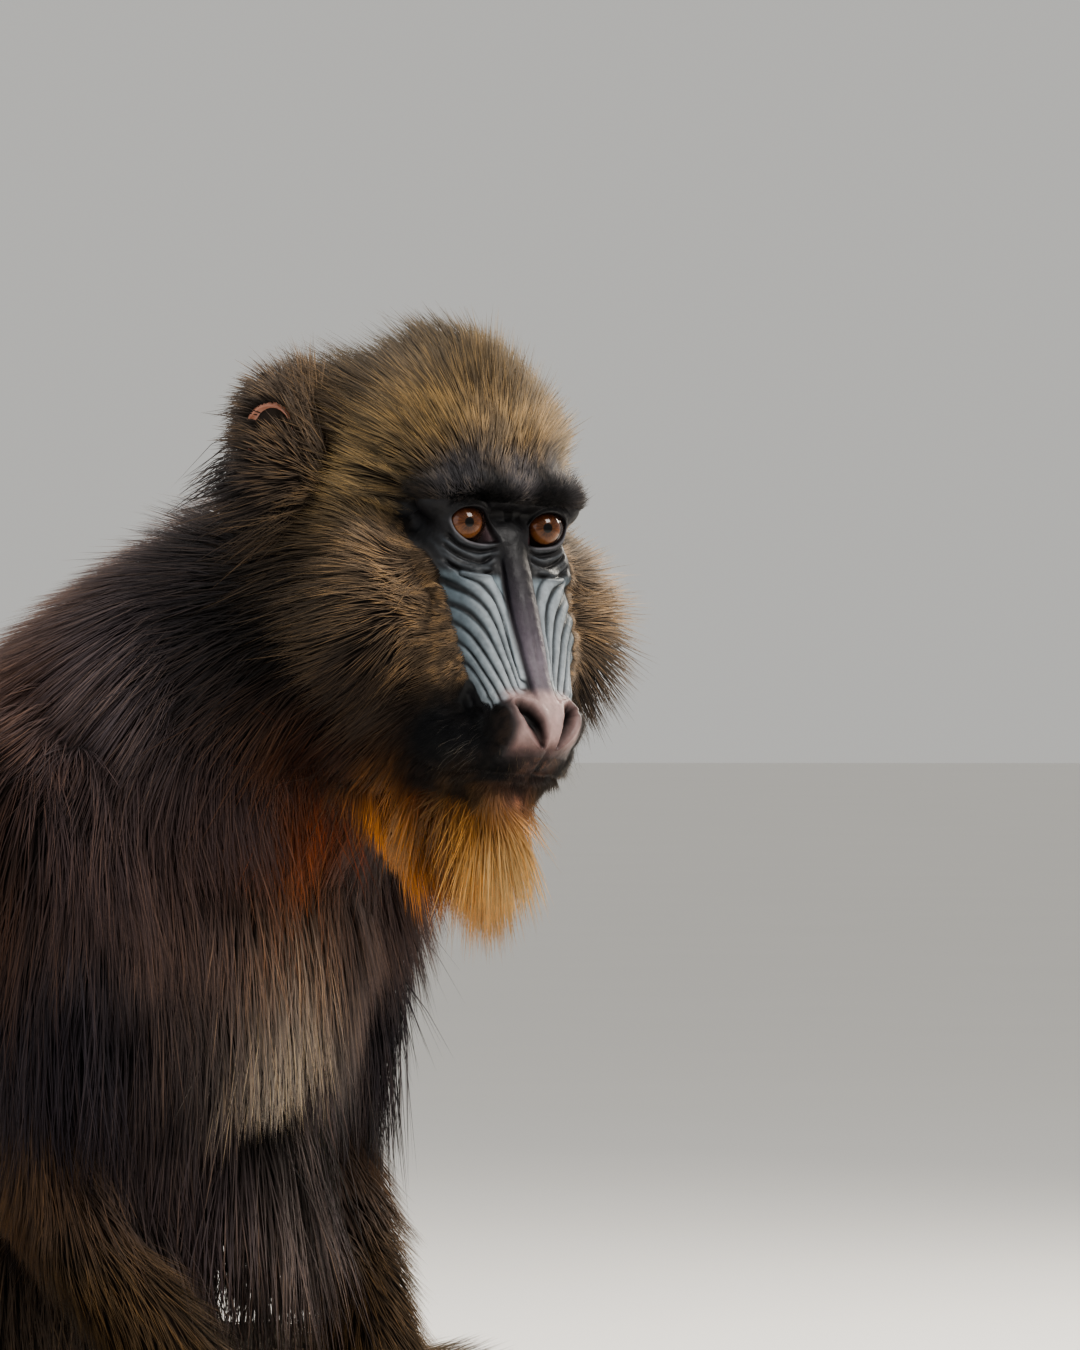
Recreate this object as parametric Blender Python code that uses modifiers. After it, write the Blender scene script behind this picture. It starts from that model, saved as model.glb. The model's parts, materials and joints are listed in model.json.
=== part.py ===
"""A sitting mandrill, life size, as closed solids that follow the outline of its coat.

Units are metres. +Z is up, the floor is z = 0, and the animal faces -Y with its left side at +X.
The head is turned to the animal's right and looks a little down. Rump, hands and feet rest on the floor.
"""

import math

import bmesh
import bpy
from mathutils import Euler, Matrix, Vector

# Driving dimensions
GAP = 0.0003  # clearance between neighbouring solids
EYES = Vector((0.0, -0.170, 0.437))  # the point midway between the eyes
HEAD_TURN = math.radians(13.0)  # to the animal's right
HEAD_ROLL = math.radians(3.0)  # left eye lower than the right
EYE_SPACING = 0.038
EYEBALL = 0.010  # radius
EYE_DEPTH = 0.009  # from the iris back to the middle of the eyeball
SOCKET = ((0.019, -0.009, -0.0005), (0.0125, 0.0125, 0.0085))  # the dish in front of an eye
SHOULDER = Vector((0.088, 0.000, 0.335))
ELBOW = Vector((0.079, 0.018, 0.200))
WRIST = Vector((0.041, -0.082, 0.046))
HIP = Vector((0.058, 0.132, 0.080))
KNEE = Vector((0.178, 0.000, 0.060))
ANKLE = Vector((0.118, -0.112, 0.030))
TAIL_ROOT = Vector((0.0, 0.190, 0.112))
TAIL_TIP = Vector((0.0, 0.2359, 0.172))
ARM_RADII = (0.043, 0.035, 0.023)  # at the shoulder, elbow and wrist
LEG_RADII = (0.046, 0.036, 0.021)  # at the hip, knee and ankle
HAND_SPLAY = math.radians(12.0)
FOOT_SPLAY = math.radians(9.0)
PRESS = 0.0014  # how far soft soles and fingers flatten on the floor
CUT_BLOCK = 1.2  # side of the block that cuts along a plane
ZONE_MARGIN = 0.010  # how far a cutting hull stands outside the limb that it takes

# The cut between head and neck is square to the neck
NECK_CUT = Vector((0.0, -0.046, 0.400))
NECK_BASE_CUT = Vector((0.0, -0.008, 0.385))
NECK_AXIS = Vector((0.0, -0.85, 0.53)).normalized()
WAIST_CUT = Vector((0.0, 0.080, 0.196))
WAIST_AXIS = Vector((0.0, -0.43, 0.90)).normalized()

HEAD_FRAME = (
    Matrix.Translation(EYES)
    @ Matrix.Rotation(-HEAD_TURN, 4, "Z")
    @ Matrix.Rotation(HEAD_ROLL, 4, "Y")
)
BODY_FRAME = Matrix.Identity(4)

# Rounded masses of the bare face, in millimetres in the head's own level frame: place as
# (to the side, forward, up) from between the eyes, then half sizes in the same order.
FACE_MASSES = {
    "face core": ((0, -22, -22), (37, 24, 40)),
    "snout pad": ((0, 20, -76), (17, 15, 14)),
    "upper lip": ((0, 8, -87), (26, 21, 15)),
    "chin": ((0, 0, -97), (24, 17, 15)),
    "brow middle": ((0, 1, 12), (16, 9, 7)),
}
FACE_PAIRS = {
    "nostril wing": ((11, 22, -74), (7, 9, 9)),
    "mouth corner": ((20, -6, -83), (19, 24, 19)),
    "cheekbone": ((26, -8, -16), (12, 13, 12)),
    "muzzle side": ((22, -12, -50), (16, 24, 32)),
    "jaw": ((24, -24, -84), (15, 30, 20)),
    "brow": ((19, -2, 13), (20, 12, 8)),
}
# Masses of hair on the head, in the same frame
HAIR_MASSES = {
    "crown": ((0, -52, 18), (54, 62, 62)),
    "crest": ((0, -38, 62), (22, 28, 22)),
    "occiput": ((0, -84, 4), (52, 36, 46)),
    "throat": ((0, -52, -70), (46, 46, 42)),
    "beard": ((0, -13, -116), (29, 33, 27)),
    "beard tip": ((0, -9, -137), (19, 24, 28)),
}
HAIR_PAIRS = {
    "temple": ((30, -42, -5), (28, 40, 42)),
    "over the ear": ((35, -78, 33), (28, 34, 34)),
    "cheek ruff": ((48, -27, -42), (28, 31, 37)),
    "cheek back": ((43, -62, -32), (32, 46, 48)),
    "lower ruff": ((32, -46, -74), (28, 32, 30)),
}
# Stations of the trunk from neck to pelvis, in metres: (y, z, half depth, half width)
SPINE = (
    (-0.078, 0.394, 0.063, 0.068),
    (-0.045, 0.385, 0.070, 0.082),
    (0.012, 0.345, 0.080, 0.096),
    (0.060, 0.290, 0.088, 0.092),
    (0.096, 0.220, 0.094, 0.090),
    (0.118, 0.150, 0.093, 0.094),
    (0.118, 0.088, 0.092, 0.104),
)
# Hair and muscle outside the trunk's stations, in millimetres in the body's frame
TRUNK_MASSES = {
    "breast": ((0, 14, 288), (80, 58, 88)),
    "chest fringe": ((0, 40, 236), (48, 24, 50)),
}
TRUNK_PAIRS = {
    "shoulder blade": ((54, -20, 360), (44, 52, 44)),
    "mantle": ((76, 20, 290), (38, 32, 66)),
    "inner fringe": ((34, 14, 212), (30, 28, 64)),
    "rump": ((50, -138, 66), (46, 50, 66)),
}
# Limbs that run along the face, in the same millimetres: the two ends and the radii in metres
NOSE_BRIDGE = ((0, -3, -8), (0, 22, -70))
NOSE_BRIDGE_RADII = (0.008, 0.0095)
CHEEK_SWELLING = ((15, -3, -24), (12.5, 14, -66))
CHEEK_SWELLING_RADII = (0.012, 0.009)

# Corners of the hulls that part the face, as a half width and places (forward, up) in millimetres
BEARD_ZONE = (44, ((34, -114), (-50, -99), (34, -190), (-50, -190)))
JAW_ZONE = (37, ((40, -98), (-20, -86), (40, -150), (-20, -150)))
MUZZLE_ZONE = (26, ((24, -24), (-8, -30), (44, -110), (-14, -92)))
SHARP_CORNER = (0.001, 0.001, 0.001)
ROUND_CORNER = (0.010, 0.008, 0.008)

# The ears, in the head's frame with Y running back
EAR_PLACE = Vector((0.052, 0.079, 0.027))
EAR_SIZES = (0.0048, 0.0150, 0.0205)
EAR_TURN = math.radians(34.0)  # the back edge stands away from the head
EAR_TILT = math.radians(-12.0)
EAR_SCOOP = (0.0062, -0.0015, 0.0010)
EAR_SCOOP_SIZES = (0.0042, 0.0095, 0.0140)

# Digits as (sideways place at the root, root forward, tip forward), in metres
FINGERS = (
    (-0.0165, 0.056, 0.094),
    (-0.0055, 0.060, 0.106),
    (0.0055, 0.059, 0.103),
    (0.0165, 0.053, 0.090),
)
TOES = (
    (-0.0150, 0.083, 0.118),
    (-0.0045, 0.087, 0.129),
    (0.0060, 0.084, 0.124),
    (0.0160, 0.077, 0.110),
)
DIGIT_FAN = 0.25  # how much the digits spread towards their tips
DIGIT_ARCH = 0.0015  # how far the middle of a digit stands above its root
FINGER_BUILD = (0.0140, 0.0078)  # height of the roots and radius
TOE_BUILD = (0.0110, 0.0076)

# Points along the short limbs of hand and foot, in metres as (sideways, back, up)
THUMB = ((-0.014, -0.020, 0.022), (-0.022, -0.034, 0.012), (-0.025, -0.047, 0.007))
THUMB_RADII = (0.010, 0.0080, 0.0070)
PALM = ((0.0054, 0.0, 0.036), (0.01215, -0.054, 0.0165))
PALM_RADII = (0.0165, 0.0120)
HEEL = (0.0, 0.016, 0.0150)
HEEL_RADII = (0.017, 0.0150)
INSTEP = ((0.0050, -0.004, 0.0200), (0.0100, -0.045, 0.0165), (0.0120, -0.080, 0.0125))
INSTEP_RADII = (0.0165, 0.0150, 0.0115)
GREAT_TOE = ((-0.012, -0.036, 0.0130), (-0.026, -0.056, 0.0105), (-0.031, -0.074, 0.0078))
GREAT_TOE_RADII = (0.0125, 0.0100, 0.0085)
LIMB_OVERLAP = 0.02  # how far a hand or foot first reaches up into its limb
ZONE_OVERLAP = 0.03  # how far a limb's cutting hull reaches past its end
TAIL_RADII = (0.020, 0.0115)
TAIL_ZONE_START = 0.3  # the tail is parted this far along it
TAIL_ZONE_RADII = (0.020, 0.018)

BALL_DETAIL = 3  # subdivisions of each icosphere
LIMB_DETAIL = 2  # the same along limbs
HULL_DETAIL = 1  # the same for the hulls that part limbs from the trunk
STEPS_PER_SPAN = 6  # balls laid between two stations
LIMB_STEP = 0.35  # distance between a limb's balls over their radius
EYE_RINGS = (16, 9)
EAR_RINGS = (14, 8)
ROOM_SHARE = 1.3  # how far a room is pushed out, in gaps
SMOOTH_SHARE = 0.5
SHARP_EDGE = math.radians(50.0)

# Voxel size, rounds of smoothing and triangles of each skin
HEAD_SKIN = (0.0028, 9, 2300)
BODY_SKIN = (0.0048, 12, 1600)
LIMB_END_SKIN = (0.0019, 3, 370)

FUR = ("fur_olive_brown", (0.115, 0.080, 0.048), 0.85)
DARK_FUR = ("fur_dark_grey", (0.045, 0.036, 0.034), 0.85)
BEARD_FUR = ("fur_orange", (0.46, 0.20, 0.055), 0.80)
FACE_SKIN = ("skin_blue_grey", (0.20, 0.25, 0.27), 0.50)
BLACK_SKIN = ("skin_black", (0.020, 0.018, 0.020), 0.50)
EAR_SKIN = ("skin_ear", (0.36, 0.15, 0.09), 0.60)
EYE_AMBER = ("eye_amber", (0.30, 0.10, 0.025), 0.10)


def start_collection(name):
    """An empty collection in an emptied scene."""
    for old in list(bpy.data.objects):
        bpy.data.objects.remove(old, do_unlink=True)
    group = bpy.data.collections.new(name)
    bpy.context.scene.collection.children.link(group)
    return group


def material(look):
    """The Principled material of one finish, made once."""
    name, colour, roughness = look
    found = bpy.data.materials.get(name)
    if found:
        return found
    made = bpy.data.materials.new(name)
    made.use_nodes = True
    shader = made.node_tree.nodes["Principled BSDF"]
    shader.inputs["Base Color"].default_value = (*colour, 1.0)
    shader.inputs["Roughness"].default_value = roughness
    shader.inputs["Metallic"].default_value = 0.0
    return made


def add_ball(bm, frame, centre, radii, detail=BALL_DETAIL):
    """An ellipsoid: an icosphere scaled by radii and set at centre."""
    place = frame @ Matrix.Translation(centre) @ Matrix.Diagonal((*radii, 1.0))
    bmesh.ops.create_icosphere(bm, subdivisions=detail, radius=1.0, matrix=place)


def from_side_forward_up(values):
    """Millimetres to the side, forward and up as metres in a frame whose Y runs back."""
    side, forward, up = values
    return Vector((side, -forward, up)) / 1000.0


def add_masses(bm, frame, masses, pairs):
    """Every single mass once, and every paired mass on both sides."""
    for place, sizes in masses.values():
        add_ball(bm, frame, from_side_forward_up(place), Vector(sizes) / 1000.0)
    for place, sizes in pairs.values():
        centre = from_side_forward_up(place)
        for side in (1, -1):
            spot = Vector((side * centre.x, centre.y, centre.z))
            add_ball(bm, frame, spot, Vector(sizes) / 1000.0)


def add_limb(bm, frame, points, radii):
    """A tapered limb: balls laid close together along straight spans between the points."""
    for start, end, wide, narrow in zip(points, points[1:], radii, radii[1:]):
        count = max(2, int((end - start).length / (LIMB_STEP * min(wide, narrow))))
        for step in range(count + 1):
            part = step / count
            size = wide + (narrow - wide) * part
            add_ball(bm, frame, start.lerp(end, part), (size,) * 3, detail=LIMB_DETAIL)


def add_sweep(bm, stations):
    """Ellipsoids swept along stations of the spine."""
    for first, last in zip(stations, stations[1:]):
        for step in range(STEPS_PER_SPAN + 1):
            part = step / STEPS_PER_SPAN
            y, z, depth, width = (a + (b - a) * part for a, b in zip(first, last))
            add_ball(bm, BODY_FRAME, (0.0, y, z), (width, depth, depth))


def mirrored(point):
    """The same point on the animal's right side."""
    return Vector((-point.x, point.y, point.z))


def object_from(bm, name, group):
    """A new object that holds the bmesh, which is freed."""
    mesh = bpy.data.meshes.new(name)
    bm.to_mesh(mesh)
    bm.free()
    made = bpy.data.objects.new(name, mesh)
    group.objects.link(made)
    return made


def apply_modifiers(ob):
    """The object's evaluated mesh takes the place of its mesh and modifiers."""
    bpy.context.view_layer.update()
    graph = bpy.context.evaluated_depsgraph_get()
    mesh = bpy.data.meshes.new_from_object(ob.evaluated_get(graph))
    ob.modifiers.clear()
    ob.data = mesh


def triangle_count(mesh):
    """How many triangles the mesh makes."""
    return sum(len(face.vertices) - 2 for face in mesh.polygons)


def fuse(ob, skin):
    """Overlapping balls become one smooth closed skin of about the given number of triangles."""
    voxel, smoothing, faces = skin
    remesh = ob.modifiers.new("fuse", "REMESH")
    remesh.mode = "VOXEL"
    remesh.voxel_size = voxel
    smooth = ob.modifiers.new("soften", "SMOOTH")
    smooth.factor = SMOOTH_SHARE
    smooth.iterations = smoothing
    apply_modifiers(ob)
    thin = ob.modifiers.new("thin", "DECIMATE")
    thin.ratio = min(1.0, faces / triangle_count(ob.data))
    thin.use_collapse_triangulate = True
    apply_modifiers(ob)


def keep_largest(ob):
    """Crumbs that a cut leaves loose are removed."""
    bm = bmesh.new()
    bm.from_mesh(ob.data)
    islands = []
    left = set(bm.verts)
    while left:
        island = set()
        edge_of_search = [left.pop()]
        while edge_of_search:
            vert = edge_of_search.pop()
            island.add(vert)
            for edge in vert.link_edges:
                other = edge.other_vert(vert)
                if other in left:
                    left.discard(other)
                    edge_of_search.append(other)
        islands.append(island)
    largest = max(islands, key=len)
    for island in islands:
        if island is not largest:
            bmesh.ops.delete(bm, geom=list(island), context="VERTS")
    bm.to_mesh(ob.data)
    bm.free()


def boolean(ob, cutter, operation):
    """One exact Boolean with a closed cutter, applied."""
    cut = ob.modifiers.new("cut", "BOOLEAN")
    cut.operation = operation
    cut.solver = "EXACT"
    cut.object = cutter
    apply_modifiers(ob)
    keep_largest(ob)


def copy_of(ob, name, group):
    """A second object with its own copy of the mesh."""
    made = bpy.data.objects.new(name, ob.data.copy())
    made.matrix_world = ob.matrix_world
    group.objects.link(made)
    return made


def cutter_from(bm, name, cutters):
    """A cutter made of the bmesh, hidden from renders and drawn as wire."""
    made = object_from(bm, name, cutters)
    made.hide_render = True
    made.display_type = "WIRE"
    return made


def keep_hull(bm):
    """The convex hull of the bmesh takes the place of all its faces."""
    hull = bmesh.ops.convex_hull(bm, input=bm.verts)
    bmesh.ops.delete(bm, geom=hull["geom_interior"] + hull["geom_unused"], context="VERTS")
    outer = set(hull["geom"])
    bmesh.ops.delete(bm, geom=[face for face in bm.faces if face not in outer], context="FACES_ONLY")
    bmesh.ops.recalc_face_normals(bm, faces=bm.faces)


def hull_cutter(name, balls, grow, cutters):
    """The convex hull of balls, each (centre, radii), grown outwards."""
    bm = bmesh.new()
    for centre, radii, frame in balls:
        add_ball(bm, frame, centre, [size + grow for size in radii], detail=HULL_DETAIL)
    keep_hull(bm)
    return cutter_from(bm, name, cutters)


def room_round(ob, cutters):
    """The convex hull of a finished piece, pushed out by a little more than the gap."""
    bm = bmesh.new()
    bm.from_mesh(ob.data)
    bm.normal_update()
    for vert, normal in [(vert, vert.normal.copy()) for vert in bm.verts]:
        vert.co += normal * GAP * ROOM_SHARE
    keep_hull(bm)
    return cutter_from(bm, ob.name + "_room", cutters)


def take_zone(whole, name, balls, group, cutters):
    """What lies inside the hull of the balls leaves the whole as a piece of its own."""
    piece = copy_of(whole, name, group)
    boolean(piece, hull_cutter(name + "_zone", balls, 0.0, cutters), "INTERSECT")
    boolean(whole, hull_cutter(name + "_room", balls, GAP, cutters), "DIFFERENCE")
    return piece


def cut_away(ob, point, axis, cutters):
    """Everything on the axis's side of a plane is removed, and the cut is closed flat."""
    bm = bmesh.new()
    turn = axis.to_track_quat("Z", "Y").to_matrix().to_4x4()
    place = Matrix.Translation(point + axis * CUT_BLOCK / 2) @ turn
    bmesh.ops.create_cube(bm, size=CUT_BLOCK, matrix=place)
    boolean(ob, cutter_from(bm, ob.name + "_block", cutters), "DIFFERENCE")


def part_at(ob, point, axis, front_name, group, cutters):
    """A thin cut parts an object in two. The part on the axis's side is the new object."""
    front = copy_of(ob, front_name, group)
    cut_away(front, point + axis * GAP / 2, -axis, cutters)
    cut_away(ob, point - axis * GAP / 2, axis, cutters)
    return front


def rest_on_floor(ob, cutters):
    """A small flat where the piece meets the floor."""
    cut_away(ob, Vector((0.0, 0.0, 0.0)), Vector((0.0, 0.0, -1.0)), cutters)


def dress(ob, look):
    """The material and smooth shading with sharp cut edges."""
    ob.data.materials.clear()
    ob.data.materials.append(material(look))
    ob.data.shade_smooth()
    ob.data.set_sharp_from_angle(angle=SHARP_EDGE)


def eye_centre(side):
    """The middle of one eyeball in the head's frame, with side +1 for the left."""
    return Vector((side * EYE_SPACING / 2, EYE_DEPTH, 0.0))


def make_eyes(group):
    """Two eyeballs, each one ball."""
    made = []
    for side, name in ((1, "eye_left"), (-1, "eye_right")):
        bm = bmesh.new()
        place = HEAD_FRAME @ Matrix.Translation(eye_centre(side))
        around, down = EYE_RINGS
        bmesh.ops.create_uvsphere(bm, u_segments=around, v_segments=down, radius=EYEBALL, matrix=place)
        made.append(object_from(bm, name, group))
    return made


def ear_frame(side):
    """The ear's own frame: X out of its face, Z up along it."""
    centre = Vector((side * EAR_PLACE.x, EAR_PLACE.y, EAR_PLACE.z))
    turn = Euler((EAR_TILT, 0.0, side * -EAR_TURN)).to_matrix().to_4x4()
    return HEAD_FRAME @ Matrix.Translation(centre) @ turn


def make_ears(group, cutters):
    """Two thin pinnae with a scooped hollow on the outer face."""
    made = []
    for side, name in ((1, "ear_left"), (-1, "ear_right")):
        bm = bmesh.new()
        place = ear_frame(side) @ Matrix.Diagonal((*EAR_SIZES, 1.0))
        around, down = EAR_RINGS
        bmesh.ops.create_uvsphere(bm, u_segments=around, v_segments=down, radius=1.0, matrix=place)
        ear = object_from(bm, name, group)
        across, back, up = EAR_SCOOP
        scoop = [(Vector((side * across, back, up)), EAR_SCOOP_SIZES, ear_frame(side))]
        boolean(ear, hull_cutter(name + "_scoop", scoop, 0.0, cutters), "DIFFERENCE")
        made.append(ear)
    return made


def face_zone(zone, corner):
    """The corners of one hull on both sides of the face."""
    across, places = zone
    return [
        (from_side_forward_up((side * across, forward, up)), corner, HEAD_FRAME)
        for side in (1, -1)
        for forward, up in places
    ]


def make_head(group, cutters, eyes, ears):
    """Skull, face and head hair in one skin, then parted into head, muzzle, jaw and beard."""
    bm = bmesh.new()
    add_masses(bm, HEAD_FRAME, FACE_MASSES, FACE_PAIRS)
    add_masses(bm, HEAD_FRAME, HAIR_MASSES, HAIR_PAIRS)
    bridge = [from_side_forward_up(place) for place in NOSE_BRIDGE]
    add_limb(bm, HEAD_FRAME, bridge, NOSE_BRIDGE_RADII)
    for side in (1, -1):
        swelling = [
            from_side_forward_up((side * across, forward, up))
            for across, forward, up in CHEEK_SWELLING
        ]
        add_limb(bm, HEAD_FRAME, swelling, CHEEK_SWELLING_RADII)
    add_sweep(bm, SPINE[:3])
    head = object_from(bm, "head", group)
    fuse(head, HEAD_SKIN)
    cut_away(head, NECK_CUT + NECK_AXIS * GAP / 2, -NECK_AXIS, cutters)

    for set_in in eyes + ears:
        boolean(head, room_round(set_in, cutters), "DIFFERENCE")
    (across, back, up), socket_sizes = SOCKET
    for side in (1, -1):
        dish = [(Vector((side * across, back, up)), socket_sizes, HEAD_FRAME)]
        boolean(head, hull_cutter("socket", dish, 0.0, cutters), "DIFFERENCE")

    beard = take_zone(head, "beard", face_zone(BEARD_ZONE, SHARP_CORNER), group, cutters)
    jaw = take_zone(head, "jaw", face_zone(JAW_ZONE, SHARP_CORNER), group, cutters)
    muzzle = take_zone(head, "muzzle", face_zone(MUZZLE_ZONE, ROUND_CORNER), group, cutters)
    dress(head, FUR)
    dress(beard, BEARD_FUR)
    dress(jaw, BLACK_SKIN)
    dress(muzzle, FACE_SKIN)


def limb_zone(start, end, wide, narrow):
    """The hull round one limb bone, a little larger than the limb."""
    wide_ball = (start, (wide + ZONE_MARGIN,) * 3, BODY_FRAME)
    narrow_ball = (end, (narrow + ZONE_MARGIN,) * 3, BODY_FRAME)
    return [wide_ball, narrow_ball]


def make_body(group, cutters):
    """Trunk, limbs and tail in one skin, then parted at the joints."""
    bm = bmesh.new()
    add_sweep(bm, SPINE)
    add_masses(bm, BODY_FRAME, TRUNK_MASSES, TRUNK_PAIRS)
    add_limb(bm, BODY_FRAME, [TAIL_ROOT, TAIL_TIP], TAIL_RADII)
    for flip in (Vector, mirrored):
        add_limb(bm, BODY_FRAME, [flip(SHOULDER), flip(ELBOW), flip(WRIST)], ARM_RADII)
        add_limb(bm, BODY_FRAME, [flip(HIP), flip(KNEE), flip(ANKLE)], LEG_RADII)
    body = object_from(bm, "abdomen", group)
    fuse(body, BODY_SKIN)
    cut_away(body, NECK_CUT - NECK_AXIS * GAP / 2, NECK_AXIS, cutters)
    rest_on_floor(body, cutters)

    wrist_axis = (WRIST - ELBOW).normalized()
    ankle_axis = (ANKLE - KNEE).normalized()
    for flip, name in ((Vector, "left"), (mirrored, "right")):
        past_wrist = flip(WRIST + wrist_axis * ZONE_OVERLAP)
        forearm_zone = limb_zone(flip(ELBOW), past_wrist, *ARM_RADII[1:])
        forearm = take_zone(body, "forearm_" + name, forearm_zone, group, cutters)
        cut_away(forearm, flip(WRIST - wrist_axis * GAP / 2), flip(wrist_axis), cutters)
        upper_zone = limb_zone(flip(SHOULDER), flip(ELBOW), *ARM_RADII[:2])
        upper = take_zone(body, "upper_arm_" + name, upper_zone, group, cutters)
        past_ankle = flip(ANKLE + ankle_axis * ZONE_OVERLAP)
        shank_zone = limb_zone(flip(KNEE), past_ankle, *LEG_RADII[1:])
        shank = take_zone(body, "shank_" + name, shank_zone, group, cutters)
        cut_away(shank, flip(ANKLE - ankle_axis * GAP / 2), flip(ankle_axis), cutters)
        thigh_zone = limb_zone(flip(HIP), flip(KNEE), *LEG_RADII[:2])
        thigh = take_zone(body, "thigh_" + name, thigh_zone, group, cutters)
        for piece in (forearm, upper, shank, thigh):
            dress(piece, FUR)
    tail_zone = limb_zone(TAIL_ROOT.lerp(TAIL_TIP, TAIL_ZONE_START), TAIL_TIP, *TAIL_ZONE_RADII)
    tail = take_zone(body, "tail", tail_zone, group, cutters)
    chest = part_at(body, WAIST_CUT, WAIST_AXIS, "chest", group, cutters)
    neck = part_at(chest, NECK_BASE_CUT, NECK_AXIS, "neck", group, cutters)
    for piece in (tail, chest, body):
        dress(piece, FUR)
    dress(neck, DARK_FUR)


def limb_end_frame(joint, splay):
    """A frame under a wrist or ankle, turned outwards and pressed a little into the floor."""
    return Matrix.Translation((joint.x, joint.y, -PRESS)) @ Matrix.Rotation(splay, 4, "Z")


def add_digits(bm, frame, digits, build_of_digit):
    """Four digits, each arched from its root to a tip that lies on the floor."""
    height, thickness = build_of_digit
    for side, root, tip in digits:
        fan = 1.0 + DIGIT_FAN * (tip - root) / root
        points = [
            Vector((side, -root, height)),
            Vector((side * fan, -(root + tip) / 2, height + DIGIT_ARCH)),
            Vector((side * fan, -tip, thickness * 0.8)),
        ]
        add_limb(bm, frame, points, (thickness * 1.2, thickness, thickness * 0.85))


def limb_stump(bm, frame, joint, before, radii):
    """The last of a limb above its wrist or ankle, so that the hand or foot grows out of it."""
    axis = (joint - before).normalized()
    above = frame.inverted() @ (joint - axis * LIMB_OVERLAP)
    below = frame.inverted() @ joint
    _, wide, narrow = radii
    flare = (wide - narrow) * LIMB_OVERLAP / (joint - before).length
    add_limb(bm, frame, [above, below], (narrow + flare, narrow))
    return axis


def finish_limb_end(bm, name, joint, axis, group, cutters):
    """The balls of a hand or foot as one skin, cut at the joint and set on the floor."""
    made = object_from(bm, name, group)
    fuse(made, LIMB_END_SKIN)
    cut_away(made, joint + axis * GAP / 2, -axis, cutters)
    rest_on_floor(made, cutters)
    return made


def make_hand(group, cutters):
    """The left hand, flat on the floor with its palm raised, from the wrist forward."""
    frame = limb_end_frame(WRIST, HAND_SPLAY)
    bm = bmesh.new()
    axis = limb_stump(bm, frame, WRIST, ELBOW, ARM_RADII)
    for side in (-1, 0, 1):
        palm = [Vector((side * across, back, up)) for across, back, up in PALM]
        add_limb(bm, frame, palm, PALM_RADII)
    add_digits(bm, frame, FINGERS, FINGER_BUILD)
    add_limb(bm, frame, [Vector(place) for place in THUMB], THUMB_RADII)
    return finish_limb_end(bm, "hand_left", WRIST, axis, group, cutters)


def make_foot(group, cutters):
    """The left foot, sole on the floor, with its great toe set apart on the inner side."""
    frame = limb_end_frame(ANKLE, FOOT_SPLAY)
    bm = bmesh.new()
    axis = limb_stump(bm, frame, ANKLE, KNEE, LEG_RADII)
    ankle = frame.inverted() @ ANKLE
    add_limb(bm, frame, [ankle, Vector(HEEL)], HEEL_RADII)
    for side in (-1, 0, 1):
        instep = [Vector((side * across, back, up)) for across, back, up in INSTEP]
        add_limb(bm, frame, instep, INSTEP_RADII)
    add_digits(bm, frame, TOES, TOE_BUILD)
    add_limb(bm, frame, [Vector(place) for place in GREAT_TOE], GREAT_TOE_RADII)
    return finish_limb_end(bm, "foot_left", ANKLE, axis, group, cutters)


def mirror_to_right(ob, group):
    """The right-hand copy of a left-hand piece."""
    made = copy_of(ob, ob.name.replace("left", "right"), group)
    made.data.transform(Matrix.Scale(-1.0, 4, (1.0, 0.0, 0.0)))
    made.data.flip_normals()
    return made


def build():
    """Makes every piece of the animal."""
    group = start_collection("mandrill")
    cutters = bpy.data.collections.new("cutters")
    bpy.context.scene.collection.children.link(cutters)
    eyes = make_eyes(group)
    ears = make_ears(group, cutters)
    make_head(group, cutters, eyes, ears)
    make_body(group, cutters)
    for end in (make_hand(group, cutters), make_foot(group, cutters)):
        dress(end, BLACK_SKIN)
        dress(mirror_to_right(end, group), BLACK_SKIN)
    for eye in eyes:
        dress(eye, EYE_AMBER)
    for ear in ears:
        dress(ear, EAR_SKIN)


build()
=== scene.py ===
"""A sitting mandrill, life size: one skin under a coat of tufts, with eyes, ears and nails."""

from __future__ import annotations

import json
import logging
import math
from collections.abc import Iterator
from contextlib import contextmanager
from dataclasses import dataclass, field
from enum import Enum, IntEnum

import bmesh
import bpy
import numpy as np
from mathutils import Euler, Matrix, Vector
from mathutils.bvhtree import BVHTree

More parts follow.
